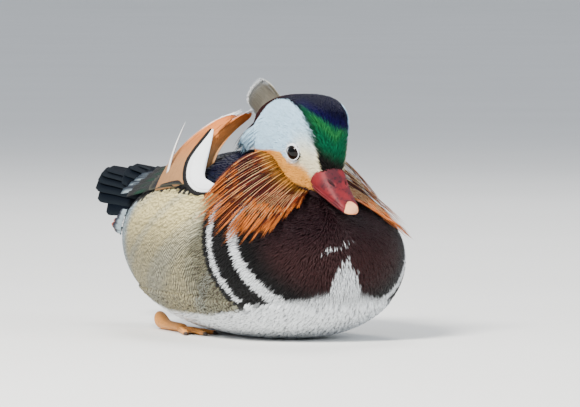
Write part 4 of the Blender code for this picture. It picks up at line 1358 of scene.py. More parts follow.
@dataclass
class Ruff:
    """The long orange hackles that fan from a cheek over the breast."""

    side: Side
    blade: float = 0.225
    shaft: float = 0.085
    sunk: float = 1.3
    rows: int = 11
    bright_seed: int = 7
    roots: Rows = (
        (21, 26, -9),
        (21, 16, -7.5),
        (19.5, 10, -11),
        (17, 5, -15.5),
        (14.5, -2, -18.5),
        (11.5, -7, -20.5),
        (7.5, -10.5, -21),
    )
    tips: Rows = (
        (50, -25, 93),
        (58, -28, 86),
        (64, -29, 76),
        (66, -48, 69),
        (62, -62, 63),
        (56, -74, 62),
        (45, -84, 67),
        (23, -83, 82),
    )
    # Count, reach, height over the breast and whether the pale shafts show, from the lowest up. Tiers without
    # shafts are painted dark, as shade under the others.
    tiers: Rows = (
        (84, 1.0, 0.5, 0),
        (84, 0.88, 0.9, 0),
        (46, 1.0, 1.4, 1),
        (46, 0.86, 1.8, 1),
        (46, 0.66, 2.2, 1),
    )

    def _paths(self, skin: Skin, tier: int) -> tuple[Array, Array]:
        """The middle lines of one tier, with the way up. The bright tiers share one draw."""
        count, reach, lift, bright = self.tiers[tier]
        rng = np.random.default_rng(SEED + (self.bright_seed if bright else tier))
        t = (np.arange(count) + rng.uniform(0.2, 0.8, count)) / count
        roots = from_head(blend(self.roots, t) * self.side.flip + rng.normal(0, 0.35, (count, 3)))
        tips = blend(self.tips, t) * self.side.flip + rng.normal(0, 0.6, (count, 3))
        stations = np.linspace(0, 1, self.rows)
        middle = 0.55 * roots + 0.45 * tips
        middle[:, 2] += 9 * (1 - 0.85 * t)
        share = reach * (1 - rng.uniform(-0.04, 0.1, count) * (0.5 + t))
        paths = bezier([roots, middle, tips], stations[None, :] * share[:, None])
        rise = np.minimum(stations / reach * 1.7, 1) ** 0.8 * (1 - 0.25 * stations**3)
        paths = skin.lift(paths, -self.sunk + (lift + self.sunk + 0.3) * rise)
        return paths, unit(skin.ups(paths))

    def build(self, skin: Skin, rng: Random) -> bpy.types.Object:
        """Fan the tiers: each hackle is two blades with painted shade along their edges, and the upper tiers
        add a pale shaft and split ends.
        """
        ruff = Gathering("hackles_" + self.side.word)
        stations = np.linspace(0, 1, self.rows)
        taper = np.clip(0.42 + stations * 1.2, 0, 1) * np.clip((1.02 - stations) * 1.35, 0, 1) ** 1.3
        ends = smooth_step(0.62, 1.0, stations[None, :])
        tip = mix(Markings.orange, Markings.buff, 0.12) * 0.8
        for tier in range(len(self.tiers)):
            count, reach, _, bright = self.tiers[tier]
            paths, ups = self._paths(skin, tier)
            pitch = np.linalg.norm(np.gradient(paths, axis=0), axis=2).clip(0.7, 3.2)
            pitch = 0.5 * pitch + 0.25 * (np.roll(pitch, 1, 0) + np.roll(pitch, -1, 0))
            widths = rng.uniform(0.85, 1.15, count)[:, None] * taper * pitch
            aside = directions(paths, ups)[1]
            along = (stations[None, :] * reach + rng.normal(0, 0.03, (count, 1))).clip(0, 1)
            tone = rng.uniform(0.85, 1.1, count)[:, None, None]
            # The lower tiers are painted dark, most towards their roots, as shade under the tiers above.
            if not bright:
                tone = tone * (0.25 + 0.5 * ends[..., None])
            rust = mix(Markings.buff * 1.1, Markings.orange, smooth_step(0.06, 0.2, along))
            rust = mix(rust, Markings.rust * 1.25, smooth_step(0.12, 0.34, along))
            ends_all = np.repeat(ends, count, 0)
            ridge = mix(rust, tip, ends_all)
            # The blades' edges are painted dark, as shade between the hackles, and dark at the ends too.
            shadow = (0.95 - 0.75 * smooth_step(0.06, 0.2, along))[..., None]
            edge = mix(rust * shadow, tip * 0.6, ends_all)
            pale = mix(Markings.buff, Markings.cream * (1.0, 0.86, 0.62), smooth_step(0.04, 0.16, along))
            pale = mix(pale, Markings.buff * 0.9, smooth_step(0.75, 1.0, along))
            traits = traits_for(rng, count, 0.15)
            unwrap = body_unwrap(paths[:, -1])
            for way in (-1, 1):
                blade = paths + aside * (way * self.blade * widths)[..., None]
                halves = self.blade * widths[:, :-1]
                ruff.locks(blade, ups, halves, halves * 0.5, edge * tone, traits, unwrap, ridge * tone)
            if bright:
                line = paths + ups * (0.08 * widths + 0.1)[..., None]
                halves = (self.shaft * widths[:, :-1] + 0.02) * np.clip(stations[:-1] * 9, 0.15, 1)
                ruff.locks(line, ups, halves, halves * 0.8, pale, traits, unwrap)
                self._wisps(ruff, paths, ups, unwrap, traits, rng)
        finish = PlumageFinish(ruff.name + "_finish", roughness=0.46, barbs=30, edge_shade=0.35, cloud=0.1)
        return ruff.piece(finish, ("ruff_" + self.side.word,))

    @staticmethod
    def _wisps(ruff: Gathering, paths: Array, ups: Array, unwrap: Array, traits: Array, rng: Random) -> None:
        """Add the fine strands into which the end of each hackle splits."""
        aside = directions(paths, ups)[1]
        ahead = unit(paths[:, -1] - paths[:, -3])
        length = np.linalg.norm(paths[:, -1] - paths[:, -3], axis=1)
        for way in (-0.5, 0.1, 0.6):
            spread = aside[:, -2] * (way * rng.uniform(0.8, 1.6, len(paths)))[:, None]
            start = paths[:, -3] + spread * 0.4
            middle = start + ahead * (length * 0.5)[:, None] + spread * 0.3
            stop = start + ahead * (length * rng.uniform(1.02, 1.3, len(paths)))[:, None] + spread
            line = np.stack([start, middle, stop], 1)
            up = np.repeat(ups[:, -2:-1], 3, 1)
            halves = np.tile((0.3, 0.22), (len(paths), 1))
            tip = mix(Markings.orange, Markings.buff, 0.25)
            colour = np.repeat((tip * rng.uniform(0.5, 1.1, len(paths))[:, None])[:, None], 3, 1)
            ruff.locks(line + up * 0.15, up, halves, halves * 0.6, colour, traits, unwrap)


@dataclass
class Crest:
    """The long plumes that sweep back from the crown over the nape, with white hairs beside them."""

    # Count, spread, root and tip (each back and up) of each tier, from the lowest up.
    tiers: Rows = (
        (70, 12.0, 31, 9, 72, -22),
        (64, 10.5, 27, 13, 69, -17),
        (56, 9.0, 22, 16, 64, -10),
        (46, 7.0, 17, 20, 56, -2),
    )
    half: float = 0.95
    rows: int = 9
    hair_roots: Rows = ((17.5, 31, 12), (19.0, 34, 7), (19.3, 37, 3), (18.8, 39, -1), (17.5, 42, -6))
    hair_tips: Rows = ((11, 56, -9), (12, 60, -14), (12.5, 64, -19), (12.5, 62, -23), (12, 57, -25))
    hairs: int = 70

    def build(self, skin: Skin, rng: Random) -> bpy.types.Object:
        """Lay the tiers of plumes from the lowest up, then the hairs on both sides."""
        crest = Gathering("crest_plumes")
        stations = np.linspace(0, 1, self.rows)
        taper = np.sin(np.pi * np.clip(stations[:-1] * 0.72 + 0.2, 0, 1)) ** 0.7
        for count, spread, root_back, root_up, tip_back, tip_up in self.tiers:
            a = np.linspace(-1, 1, count) + rng.normal(0, 0.03, count)
            roots = np.stack([a * spread * 0.9, root_back - 2 * a * a, root_up - 7 * a * a], 1)
            tips = np.stack([a * spread, tip_back - 8 * a * a, tip_up - 5 * a * a], 1)
            tips += rng.normal(0, 1.0, (count, 3)) * (0.5, 1.6, 0.5)
            back = 0.5 * (roots[:, 1] + tips[:, 1]) + 6
            middle = np.stack([a * spread * 1.1, back, roots[:, 2] + 2 - 2 * a * a], 1)
            roots, middle, tips = (from_head(v) for v in (roots, middle, tips))
            paths = skin.lift(bezier([roots, middle, tips], stations), np.where(stations < 0.5, -40.0, 1.0))
            up = np.stack([0.75 * a, np.full(count, 0.25), np.ones(count)], 1)
            ups = np.repeat(unit(up @ HEAD_AXES.T)[:, None], self.rows, 1)
            halves = self.half * rng.uniform(0.8, 1.2, count)[:, None] * taper
            dark = mix(Markings.nape, Markings.purple, smooth_step(0.5, 0.05, stations) * 0.6)
            dark = mix(dark, Markings.teal_and_sheen, smooth_step(0.65, 1.0, stations) * 0.7)
            dark, traits = np.broadcast_to(dark, paths.shape), traits_for(rng, count, 0.5)
            crest.locks(paths, ups, halves, halves * 0.3, dark, traits, head_unwrap(roots))
        for side in Side:
            self._hair(crest, skin, side, rng)
        finish = PlumageFinish("crest_finish", roughness=0.5, specular=0.14, barbs=22)
        return crest.piece(finish, ("crest",))

    def _hair(self, crest: Gathering, skin: Skin, side: Side, rng: Random) -> None:
        """Sweep the white hairs of one side back from the face."""
        count, stations = self.hairs, np.linspace(0, 1, self.rows)
        for layer in range(3):
            t = (np.arange(count) + rng.uniform(0, 1, count)) / count
            roots = blend(self.hair_roots, t) + rng.normal(0, 0.5, (count, 3))
            roots = roots + (0, -3.5 * layer, 0.4 * layer)
            tips = blend(self.hair_tips, t) + rng.normal(0, 0.9, (count, 3)) * (0.5, 1, 1)
            tips = roots + (tips - roots) * (rng.uniform(0.75, 1.04, count) - 0.12 * layer)[:, None]
            middle = 0.5 * (roots + tips) + (2.4, -0.5, -0.6)
            line = bezier([from_head(v * side.flip) for v in (roots, middle, tips)], stations)
            paths = skin.lift(line, 0.3 + (0.5 + 0.3 * layer) * np.minimum(stations * 3, 1))
            taper = np.clip(1.05 - stations[:-1], 0.12, 1) ** 0.6
            halves = 0.5 * rng.uniform(0.7, 1.2, count)[:, None] * taper
            tone = rng.uniform(0.88, 1.05, count)[:, None, None]
            colour, traits = Markings.blue_white * tone + 0 * paths, traits_for(rng, count, 0.0)
            ups, unwrap = unit(skin.ups(paths)), head_unwrap(paths[:, 0])
            crest.locks(paths, ups, halves, halves * 0.35, colour, traits, unwrap)


@dataclass
class Sail:
    """The raised orange sail of an inner wing: barbs that fan from its root into a broad vane."""

    side: Side
    roots: Rows
    waists: Rows
    tips: Rows
    cleft: float
    colours: tuple[Array, Array, Array]
    fringe: float
    spike: Rows = ((50, 36, 97), (49.5, 31, 112), (44.5, 22.5, 129.5))
    barbs: int = 120
    rows: int = 20

    def build(self, rng: Random) -> bpy.types.Object:
        """Fan the barbs and stand the spike behind them."""
        sail = Gathering("sail_vane_" + self.side.word)
        count, past = self.barbs, np.linspace(0, 1, self.barbs) - self.cleft
        t = np.linspace(0, 1, count)
        runs = (np.array(run) * self.side.flip for run in (self.roots, self.waists, self.tips))
        roots, waists, tips = (blend(run, t) for run in runs)
        notch = np.exp(-((past / 0.05) ** 2)) * 0.2 + 0.07 * smooth_step(-0.02, 0.02, past)
        edge = 0.1 * np.abs(2 * t - 1) ** 4
        ends = 1.01 - notch - edge + rng.uniform(-0.008, 0.008, count)
        share = np.linspace(0, 1, self.rows)[None, :]
        stations = share * ends[:, None]
        paths = bezier([roots, waists, tips], stations)
        across = unit(np.gradient(waists, axis=0))
        facing = unit(np.cross(across, tips - roots)) * self.side.value
        ups = np.repeat(facing[:, None], self.rows, 1)
        spread = np.linalg.norm(np.gradient(paths, axis=0), axis=2)[:, :-1]
        halves = np.maximum(spread * 0.85, 0.28)
        halves[:, -1] *= 0.5
        along = stations / ends.max()
        low, middle, high = self.colours
        colours = mix(mix(low, middle, smooth_step(0.15, 0.6, along)), high, smooth_step(0.6, 1.0, along))
        # A dark line painted along the cleft between the two tips, as shade in the split.
        shaded = np.exp(-((past / 0.035) ** 2))[:, None] * smooth_step(0.55, 0.75, along)
        colours = mix(colours, high * 0.3, shaded * 0.8)
        rear = smooth_step(0.93, 1.0, t)[:, None] * smooth_step(0.35, 0.9, along)
        rim = smooth_step(1 - self.fringe, 1.0, share) * smooth_step(0.25, 0.5, t)[:, None]
        colours = mix(colours, Markings.white, np.maximum(rim, rear) * 0.85)
        colours = colours * rng.uniform(0.93, 1.05, count)[:, None, None]
        cells = np.stack([0.02 + 0.9 * t, np.full(count, 0.5)], 1)
        sail.locks(paths, ups, halves, halves * 0.18, colours, traits_for(rng, count, 0.0), cells)
        self._fringe(sail, paths, ups, rng)
        if self.side is Side.RIGHT:
            self._spike(sail, low)
        shades = dict(edge_shade=0.1, barb_shade=0.1, cloud=0.1)
        finish = PlumageFinish(sail.name + "_finish", roughness=0.6, barbs=3, **shades)
        return sail.piece(finish, ("sail_" + self.side.word,))

    def _fringe(self, sail: Gathering, paths: Array, ups: Array, rng: Random) -> None:
        """Let short loose barbs stand out from the ends of the vane."""
        chosen = np.arange(len(paths))[len(paths) // 3 :]
        count = len(chosen)
        start = paths[chosen, -2]
        ahead = unit(paths[chosen, -1] - paths[chosen, -3])
        lean = unit(np.gradient(paths[:, -1], axis=0))[chosen]
        halves, colour = np.tile((0.26, 0.2), (count, 1)), np.tile(Markings.white * 0.95, (count, 3, 1))
        cells = np.stack([0.02 + 0.9 * chosen / len(paths), np.full(count, 0.8)], 1)
        for _ in range(2):
            reach = rng.uniform(2.0, 4.5, count)[:, None]
            stop = start + ahead * reach + lean * rng.normal(0, 1.0, (count, 1))
            line = np.stack([start, 0.5 * (start + stop), stop], 1)
            sail.locks(line, ups[chosen, :3], halves, halves * 0.4, colour, np.zeros((count, 3)), cells)

    def _spike(self, sail: Gathering, colour: Array) -> None:
        """Stand the one loose narrow feather behind the vane."""
        stations = np.linspace(0, 1, 12)
        line = bezier([np.array([stop]) * self.side.flip for stop in self.spike], stations)
        ups = np.broadcast_to(unit(np.array((self.side.value * 0.8, -0.6, 0.1))), line.shape)
        halves = (1.5 * np.clip(1.02 - stations[:-1], 0.12, 1) ** 0.9)[None, :]
        shade = mix(colour, Markings.white, smooth_step(0.1, 0.6, stations) * 0.6)[None]
        ridge = np.broadcast_to(Markings.white, line.shape)
        sail.locks(line, ups, halves, halves * 0.3, shade, np.zeros((1, 3)), np.array([[0.96, 0.2]]), ridge)


SAILS = (
    Sail(
        Side.RIGHT,
        ((36, 2, 105), (52, 8, 93), (53, 47, 87)),
        ((27, 6.5, 122), (40, 16, 121), (47, 31, 122)),
        ((9, 1, 133), (13, -1, 137), (17, 1, 138)),
        0.5,
        (linear(190, 140, 94), linear(218, 130, 64), linear(188, 94, 38)),
        0.05,
    ),
    Sail(
        Side.LEFT,
        ((36, 2, 105), (52, 8, 93), (53, 47, 87)),
        ((28, 18, 131), (36, 38, 133), (33, 64, 122)),
        ((8, 13, 153.5), (9, 29, 154), (8, 48, 143.5)),
        2.0,
        # The far sail, seen from behind: the pale grey-beige of its back face, lightened as painted light
        # shining through the vane.
        (linear(236, 172, 118), linear(236, 226, 204), linear(226, 220, 202)),
        0.1,
    ),
)


@dataclass
class BroadFeather:
    """One kind of long feather: how it is laid out in a row, in millimetres."""

    roots: Rows
    tips: Rows
    count: int
    half: float
    lift: float


def feather_halves(stations: Array, half: Array, tip: float = 0.5) -> Array:
    """Half widths of a broad feather: narrow at the root, full past the middle, round at the end."""
    body = 0.55 + 0.45 * np.sin(np.pi * np.minimum(stations * 0.85 + 0.1, 0.5))
    end = np.sqrt(np.clip(1 - ((stations - (1 - tip * 0.25)) / (tip * 0.25)).clip(0, 1) ** 2, 0.02, 1))
    return half[:, None] * (body * end)[None, :]


@dataclass
class Wing:
    """A folded wing: coverts, secondaries with their blue-green mirror, and silvery primaries."""

    side: Side
    rows: int = 14
    kinds: tuple[BroadFeather, ...] = (
        BroadFeather(((24, 92, 96), (42, 84, 88)), ((9, 152, 93), (24, 146, 84)), 8, 4.8, 0.8),
        BroadFeather(((26, 52, 104), (48, 44, 92)), ((22, 108, 98), (42, 104, 84)), 9, 5.2, 1.4),
        BroadFeather(((30, 14, 106), (50, 10, 93)), ((26, 66, 106), (48, 64, 90)), 10, 4.8, 2.0),
        BroadFeather(((30, 6, 107), (50, 4, 94)), ((28, 46, 108), (49, 42, 91)), 10, 4.2, 2.6),
    )

    def _colours(self, order: int) -> Paint:
        """The colour rule of one row of feathers, counted from the primaries up."""

        def paint(across: Array, along: Array, points: Array) -> Array:
            shaft = smooth_step(0.1, 0.0, np.abs(across))
            if order == 0:
                base = mix(Markings.slate, Markings.teal_and_sheen, smooth_step(0.6, 1.0, along))
                silver = smooth_step(0.25, 0.7, across * self.side.value) * smooth_step(0.98, 0.7, along)
                return mix(mix(base, Markings.blue_grey_shade_and_sheen, silver), Markings.black, shaft * 0.8)
            if order == 1:
                mirror = smooth_step(0.3, 0.6, along) * smooth_step(0.8, 0.6, along)
                mirror = mirror * smooth_step(0.2, 0.7, across * self.side.value)
                base = mix(Markings.olive * 0.6, Markings.emerald * 0.3, mirror)
                return mix(base, Markings.black, shaft * 0.8)
            edge = smooth_step(0.6, 1.0, np.abs(across)) + smooth_step(0.85, 1.0, along)
            base = 0.3 * (Markings.olive + Markings.slate)
            return mix(mix(base, Markings.grey * 0.5, np.clip(edge, 0, 1) * 0.5), Markings.black, shaft * 0.7)

        return paint

    def build(self, skin: Skin, rng: Random) -> bpy.types.Object:
        """Lay the rows from the primaries up."""
        wing = Gathering("wing_vanes_" + self.side.word)
        stations = np.linspace(0, 1, self.rows)
        cells, cell = cells_for(sum(kind.count for kind in self.kinds))
        for order, kind in enumerate(self.kinds):
            count = kind.count
            t = np.linspace(0, 1, count)[:, None]
            ends = [np.array(run) * self.side.flip for run in (kind.roots, kind.tips)]
            roots, tips = (run[0] * (1 - t) + run[1] * t for run in ends)
            tips[:, 1] += rng.uniform(-2, 2, count)
            line = bezier([roots, 0.5 * (roots + tips), tips], stations)
            paths = skin.lift(line, 0.6 + kind.lift * np.minimum(stations * 3, 1))
            ups = unit(skin.ups(paths) * 0.6 + (self.side.value * 0.35, 0, 0.75))
            halves = feather_halves(stations, kind.half * rng.uniform(0.92, 1.08, count))
            traits, paint = traits_for(rng, count, 0.2), self._colours(order)
            wing.plates(paths, ups, halves, 0.22, 0.55, paint, traits, cells[:count], cell)
            cells = cells[count:]
        shades = dict(roughness=0.55, specular=0.1, edge_shade=0.12, barb_shade=0.12)
        finish = PlumageFinish(wing.name + "_finish", barbs=70, slant=4, **shades)
        return wing.piece(finish, ("wing_" + self.side.word,))


@dataclass
class Scapulars:
    """The white crescent with a black border that stands between shoulder and sail."""

    side: Side
    rows: int = 24
    # Across, back, up and full width along the crescent, from its foot to its point.
    line: Rows = (
        (49, -24.5, 90.5, 4.0),
        (51.3, -18.5, 91.6, 7.5),
        (53, -11.5, 93.3, 10.5),
        (52.3, -5.0, 98, 12.6),
        (48.3, 0.6, 105, 12.6),
        (43.8, 3.6, 110.7, 10.2),
        (39.8, 4.8, 116.6, 6.4),
        (37.2, 4.8, 121.5, 3.0),
        (35.7, 4.6, 125.4, 0.4),
    )
    # Shift, share of the width, border and height of each vane, the black one first.
    vanes: Rows = ((-1.3, 1.05, 0.8, -0.5), (0.1, 0.96, 0.0, 0.1), (0.9, 0.78, 0.0, 0.4))

    def build(self) -> bpy.types.Object:
        """Stand three overlapping vanes, the black one lowest."""
        group = Gathering("scapular_vanes_" + self.side.word)
        cells, cell = cells_for(len(self.vanes))
        run = blend(self.line, np.linspace(0, 1, self.rows))
        ups = np.broadcast_to(unit(np.array((self.side.value * 0.72, -0.62, 0.3))), (1, self.rows, 3))
        middle = (run[:, :3] * self.side.flip)[None]
        aside = directions(middle, ups)[1] * -self.side.value
        half = 0.5 * run[None, :, 3]
        for k, (shift, share, extra, out) in enumerate(self.vanes):

            def paint(across: Array, along: Array, points: Array, white: bool = k > 0) -> Array:
                return np.broadcast_to(Markings.white if white else Markings.black, points.shape)

            paths = middle + aside * shift + ups * out
            halves = np.maximum(half * share + extra * np.minimum(half, 1.0), 0.12)
            traits = np.array([[0.0, 0.0, 0.3 * k]])
            group.plates(paths, ups, halves, 0.12, 0.5, paint, traits, cells[k : k + 1], cell)
        shades = dict(edge_shade=0.03, barb_shade=0.04, cloud=0.05)
        finish = PlumageFinish(group.name + "_finish", barbs=70, slant=5, **shades)
        return group.piece(finish, ("scapulars_" + self.side.word,))


@dataclass
class Tail:
    """The tail: a roof of long feathers, the coverts above and those below."""

    rows: int = 14
    # Count, half width, root (across, along, up, droop), tip (the same and its shortening).
    kinds: Rows = (
        (8, 6.0, 13, 126, 74, 4, 17, 174, 77, 8, 16),
        (11, 11.5, 13, 123, 84, 10, 21, 208.5, 94, 19, 34),
        (7, 10.0, 11, 116, 87, 8, 15, 176, 97, 9, 16),
        (9, 5.6, 12, 104, 88, 8, 15, 150, 96, 8, 10),
    )

    @staticmethod
    def _paint_under(across: Array, along: Array, points: Array) -> Array:
        """The pale coverts below, painted blue-grey as white in shade."""
        return mix(Markings.blue_grey_shade_and_sheen, Markings.white, 0.4 + 0 * along)

    @staticmethod
    def _paint_upper(across: Array, along: Array, points: Array) -> Array:
        """The dark tail with its shafts, a painted sheen towards the ends and a painted highlight along the
        edges.
        """
        sheen = smooth_step(0.2, 0.9, along) * 0.4
        base = mix(Markings.slate * (0.2, 0.23, 0.3), Markings.teal_and_sheen * 0.3, sheen)
        # The edges are painted a lighter blue-grey, a painted highlight.
        edge = smooth_step(0.55, 1.0, np.abs(across)) * 0.12
        shaft = smooth_step(0.1, 0.0, np.abs(across))
        return mix(mix(base, Markings.blue_grey_shade_and_sheen * 0.3, edge), Markings.black * 0.6, shaft)

    def build(self, rng: Random) -> bpy.types.Object:
        """Lay the rows from the lowest up."""
        tail = Gathering("tail_vanes")
        stations = np.linspace(0, 1, self.rows)
        cells, cell = cells_for(sum(kind[0] for kind in self.kinds))
        for order, kind in enumerate(self.kinds):
            count, half, root_out, root_y, root_z, root_droop, tip_out, tip_y, tip_z, tip_droop, short = kind
            a = np.linspace(-1, 1, count)
            a = a[np.argsort(-np.abs(a), kind="stable")]
            roots = np.stack([a * root_out, np.full(count, root_y), root_z - root_droop * a * a], 1)
            reach = tip_y - short * a**4 + rng.uniform(-2, 1.5, count)
            tips = np.stack([a * tip_out, reach, tip_z - tip_droop * a * a], 1)
            layer = np.array((0, 0, 0.16)) * np.arange(count)[:, None]
            middle = 0.5 * (roots + tips) + (0, 0, 3.0)
            paths = bezier([roots + layer, middle + layer, tips + layer], stations)
            up = unit(np.stack([0.9 * a, np.full(count, 0.1), np.ones(count)], 1))
            ups = np.repeat(up[:, None], self.rows, 1)
            halves = feather_halves(stations, np.full(count, half), 0.9)
            paint = self._paint_upper if order else self._paint_under
            traits = traits_for(rng, count, 0.1 if order else 0.0)
            tail.plates(paths, ups, halves, 0.2, 0.5, paint, traits, cells[:count], cell)
            cells = cells[count:]
        shades = dict(roughness=0.7, specular=0.03, edge_shade=0.1, barb_shade=0.15)
        finish = PlumageFinish("tail_finish", barbs=60, slant=4, **shades)
        return tail.piece(finish, ("tail",))


@dataclass
class RumpPlumes:
    """The long flank feathers beside the tail, dark with orange ends."""

    side: Side
    root: tuple[float, float, float] = (48.0, 92, 65)
    tips: Rows = ((37, 127, 70.5), (37, 131, 67.5), (36.5, 136.5, 65), (36, 140.5, 62.5), (35, 139.5, 60.5))
    half: float = 2.4
    rows: int = 12

    def build(self, skin: Skin, rng: Random) -> bpy.types.Object:
        """Lay the plumes over the rear of the flank."""
        plumes = Gathering("flank_plumes_" + self.side.word)
        count, stations = len(self.tips), np.linspace(0, 1, self.rows)
        tips = np.array(self.tips) * self.side.flip
        spread = np.array((self.side.value * 0.6, -1.5, 6.0)) * np.linspace(1, -1, count)[:, None]
        roots = np.array(self.root) * self.side.flip + spread
        middle = roots * 0.45 + tips * 0.55 + (self.side.value * 2.5, 0, 0)
        paths = skin.lift(bezier([roots, middle, tips], stations), 2.0)
        ups = np.broadcast_to(unit(np.array((self.side.value, 0.35, 0.25))), paths.shape)
        halves = feather_halves(stations, np.full(count, self.half), 1.6)

        def paint(across: Array, along: Array, points: Array) -> Array:
            base = mix(Markings.blue_grey_shade_and_sheen, Markings.navy * 0.7, smooth_step(0.52, 0.7, along))
            low = smooth_step(66.5, 65.0, points[..., 2])
            return mix(base, Markings.orange, smooth_step(0.88, 0.93, along) * low)

        plumes.plates(paths, ups, halves, 0.2, 0.5, paint, traits_for(rng, count, 0.2), *cells_for(count))
        finish = PlumageFinish(plumes.name + "_finish", barbs=36, slant=5, edge_shade=0.12)
        return plumes.piece(finish, ("rump_plume_" + self.side.word,))


@dataclass(frozen=True)
class HornFinish:
    """Plain horn or hard scale in one colour, a little clouded."""

    name: str
    colour: Array
    roughness: float = 0.45

    def material(self) -> bpy.types.Material:
        """Make the material."""
        shader = Shader(self.name)
        cloud = shader.noise(400.0, 3.0)
        colour = shader.scaled(self.colour, 0.75 + cloud * 0.5)
        return shader.finish(Base_Color=colour, Roughness=self.roughness + cloud * 0.1)


@dataclass
class Studs:
    """Many small rounded scales, set out on given places by a node tree."""

    name: str
    size: tuple[float, float, float]
    finish: HornFinish
    # The least and the greatest share of the size that a scale takes.
    vary: tuple[float, float] = (0.85, 1.15)

    def _tree(self) -> bpy.types.NodeTree:
        """The tree: one scale on each point, turned by the point's own directions."""
        tree = bpy.data.node_groups.new("studs", "GeometryNodeTree")
        kinds = {"Geometry": "Geometry", "Size": "Vector", "Seed": "Int", "Finish": "Material"}
        for label, kind in kinds.items():
            tree.interface.new_socket(label, in_out="INPUT", socket_type="NodeSocket" + kind)
        tree.interface.new_socket("Geometry", in_out="OUTPUT", socket_type="NodeSocketGeometry")

        def add(kind: str, out: int = 0, **links: object) -> bpy.types.NodeSocket:
            made = tree.nodes.new(kind)
            for key in [key for key in links if key.islower()]:
                setattr(made, key, links.pop(key))
            for key, given in links.items():
                socket = made.inputs[key.replace("_", " ")]
                if isinstance(given, bpy.types.NodeSocket):
                    tree.links.new(given, socket)
                else:
                    socket.default_value = given
            return made.outputs[out]

        given = tree.nodes.new("NodeGroupInput").outputs
        align = "FunctionNodeAlignRotationToVector"
        up = add("GeometryNodeInputNamedAttribute", data_type="FLOAT_VECTOR", Name="up")
        way = add("GeometryNodeInputNamedAttribute", data_type="FLOAT_VECTOR", Name="way")
        stand = add(align, axis="Z", Vector=up)
        turn = add(align, axis="Y", pivot_axis="Z", Rotation=stand, Vector=way)
        ball = add("GeometryNodeMeshUVSphere", Segments=10, Rings=6, Radius=1.0)
        vary = add("FunctionNodeRandomValue", 1, data_type="FLOAT", Seed=given["Seed"])
        vary.node.inputs[2].default_value, vary.node.inputs[3].default_value = self.vary
        scale = add("ShaderNodeVectorMath", operation="SCALE", Vector=given["Size"], Scale=vary)
        spots = {"Points": given["Geometry"], "Instance": ball, "Rotation": turn, "Scale": scale}
        real = add("GeometryNodeRealizeInstances", Geometry=add("GeometryNodeInstanceOnPoints", **spots))
        dressed = add("GeometryNodeSetMaterial", Geometry=real, Material=given["Finish"])
        tree.links.new(dressed, tree.nodes.new("NodeGroupOutput").inputs[0])
        return tree

    def build(self, places: Array, ups: Array, ways: Array, slot: str) -> bpy.types.Object:
        """Set out the scales.

        Args:
            places: World millimetres.
            ups: The way that each scale's top faces.
            ways: The way that each scale's length lies.
            slot: Not used.

        Returns:
            The piece.
        """
        mesh = bpy.data.meshes.new(self.name)
        mesh.from_pydata((places * MM).tolist(), [], [])
        for label, values in (("up", ups), ("way", ways)):
            layer = mesh.attributes.new(label, "FLOAT_VECTOR", "POINT")
            layer.data.foreach_set("vector", values.astype(np.float32).ravel())
        obj = new_object(self.name, mesh)
        tree = self._tree()
        modifier = obj.modifiers.new("studs", "NODES")
        modifier.node_group = tree
        given = {"Size": tuple(v * MM for v in self.size), "Seed": SEED, "Finish": self.finish.material()}
        for item in tree.interface.items_tree:
            if item.in_out == "INPUT" and item.name in given:
                modifier[item.identifier] = given[item.name]
        plain = evaluated_mesh(obj)
        obj.modifiers.clear()
        obj.data = plain
        plain.shade_smooth()
        LOG.info("%s: %d scales", self.name, len(places))
        return hand_over(obj)


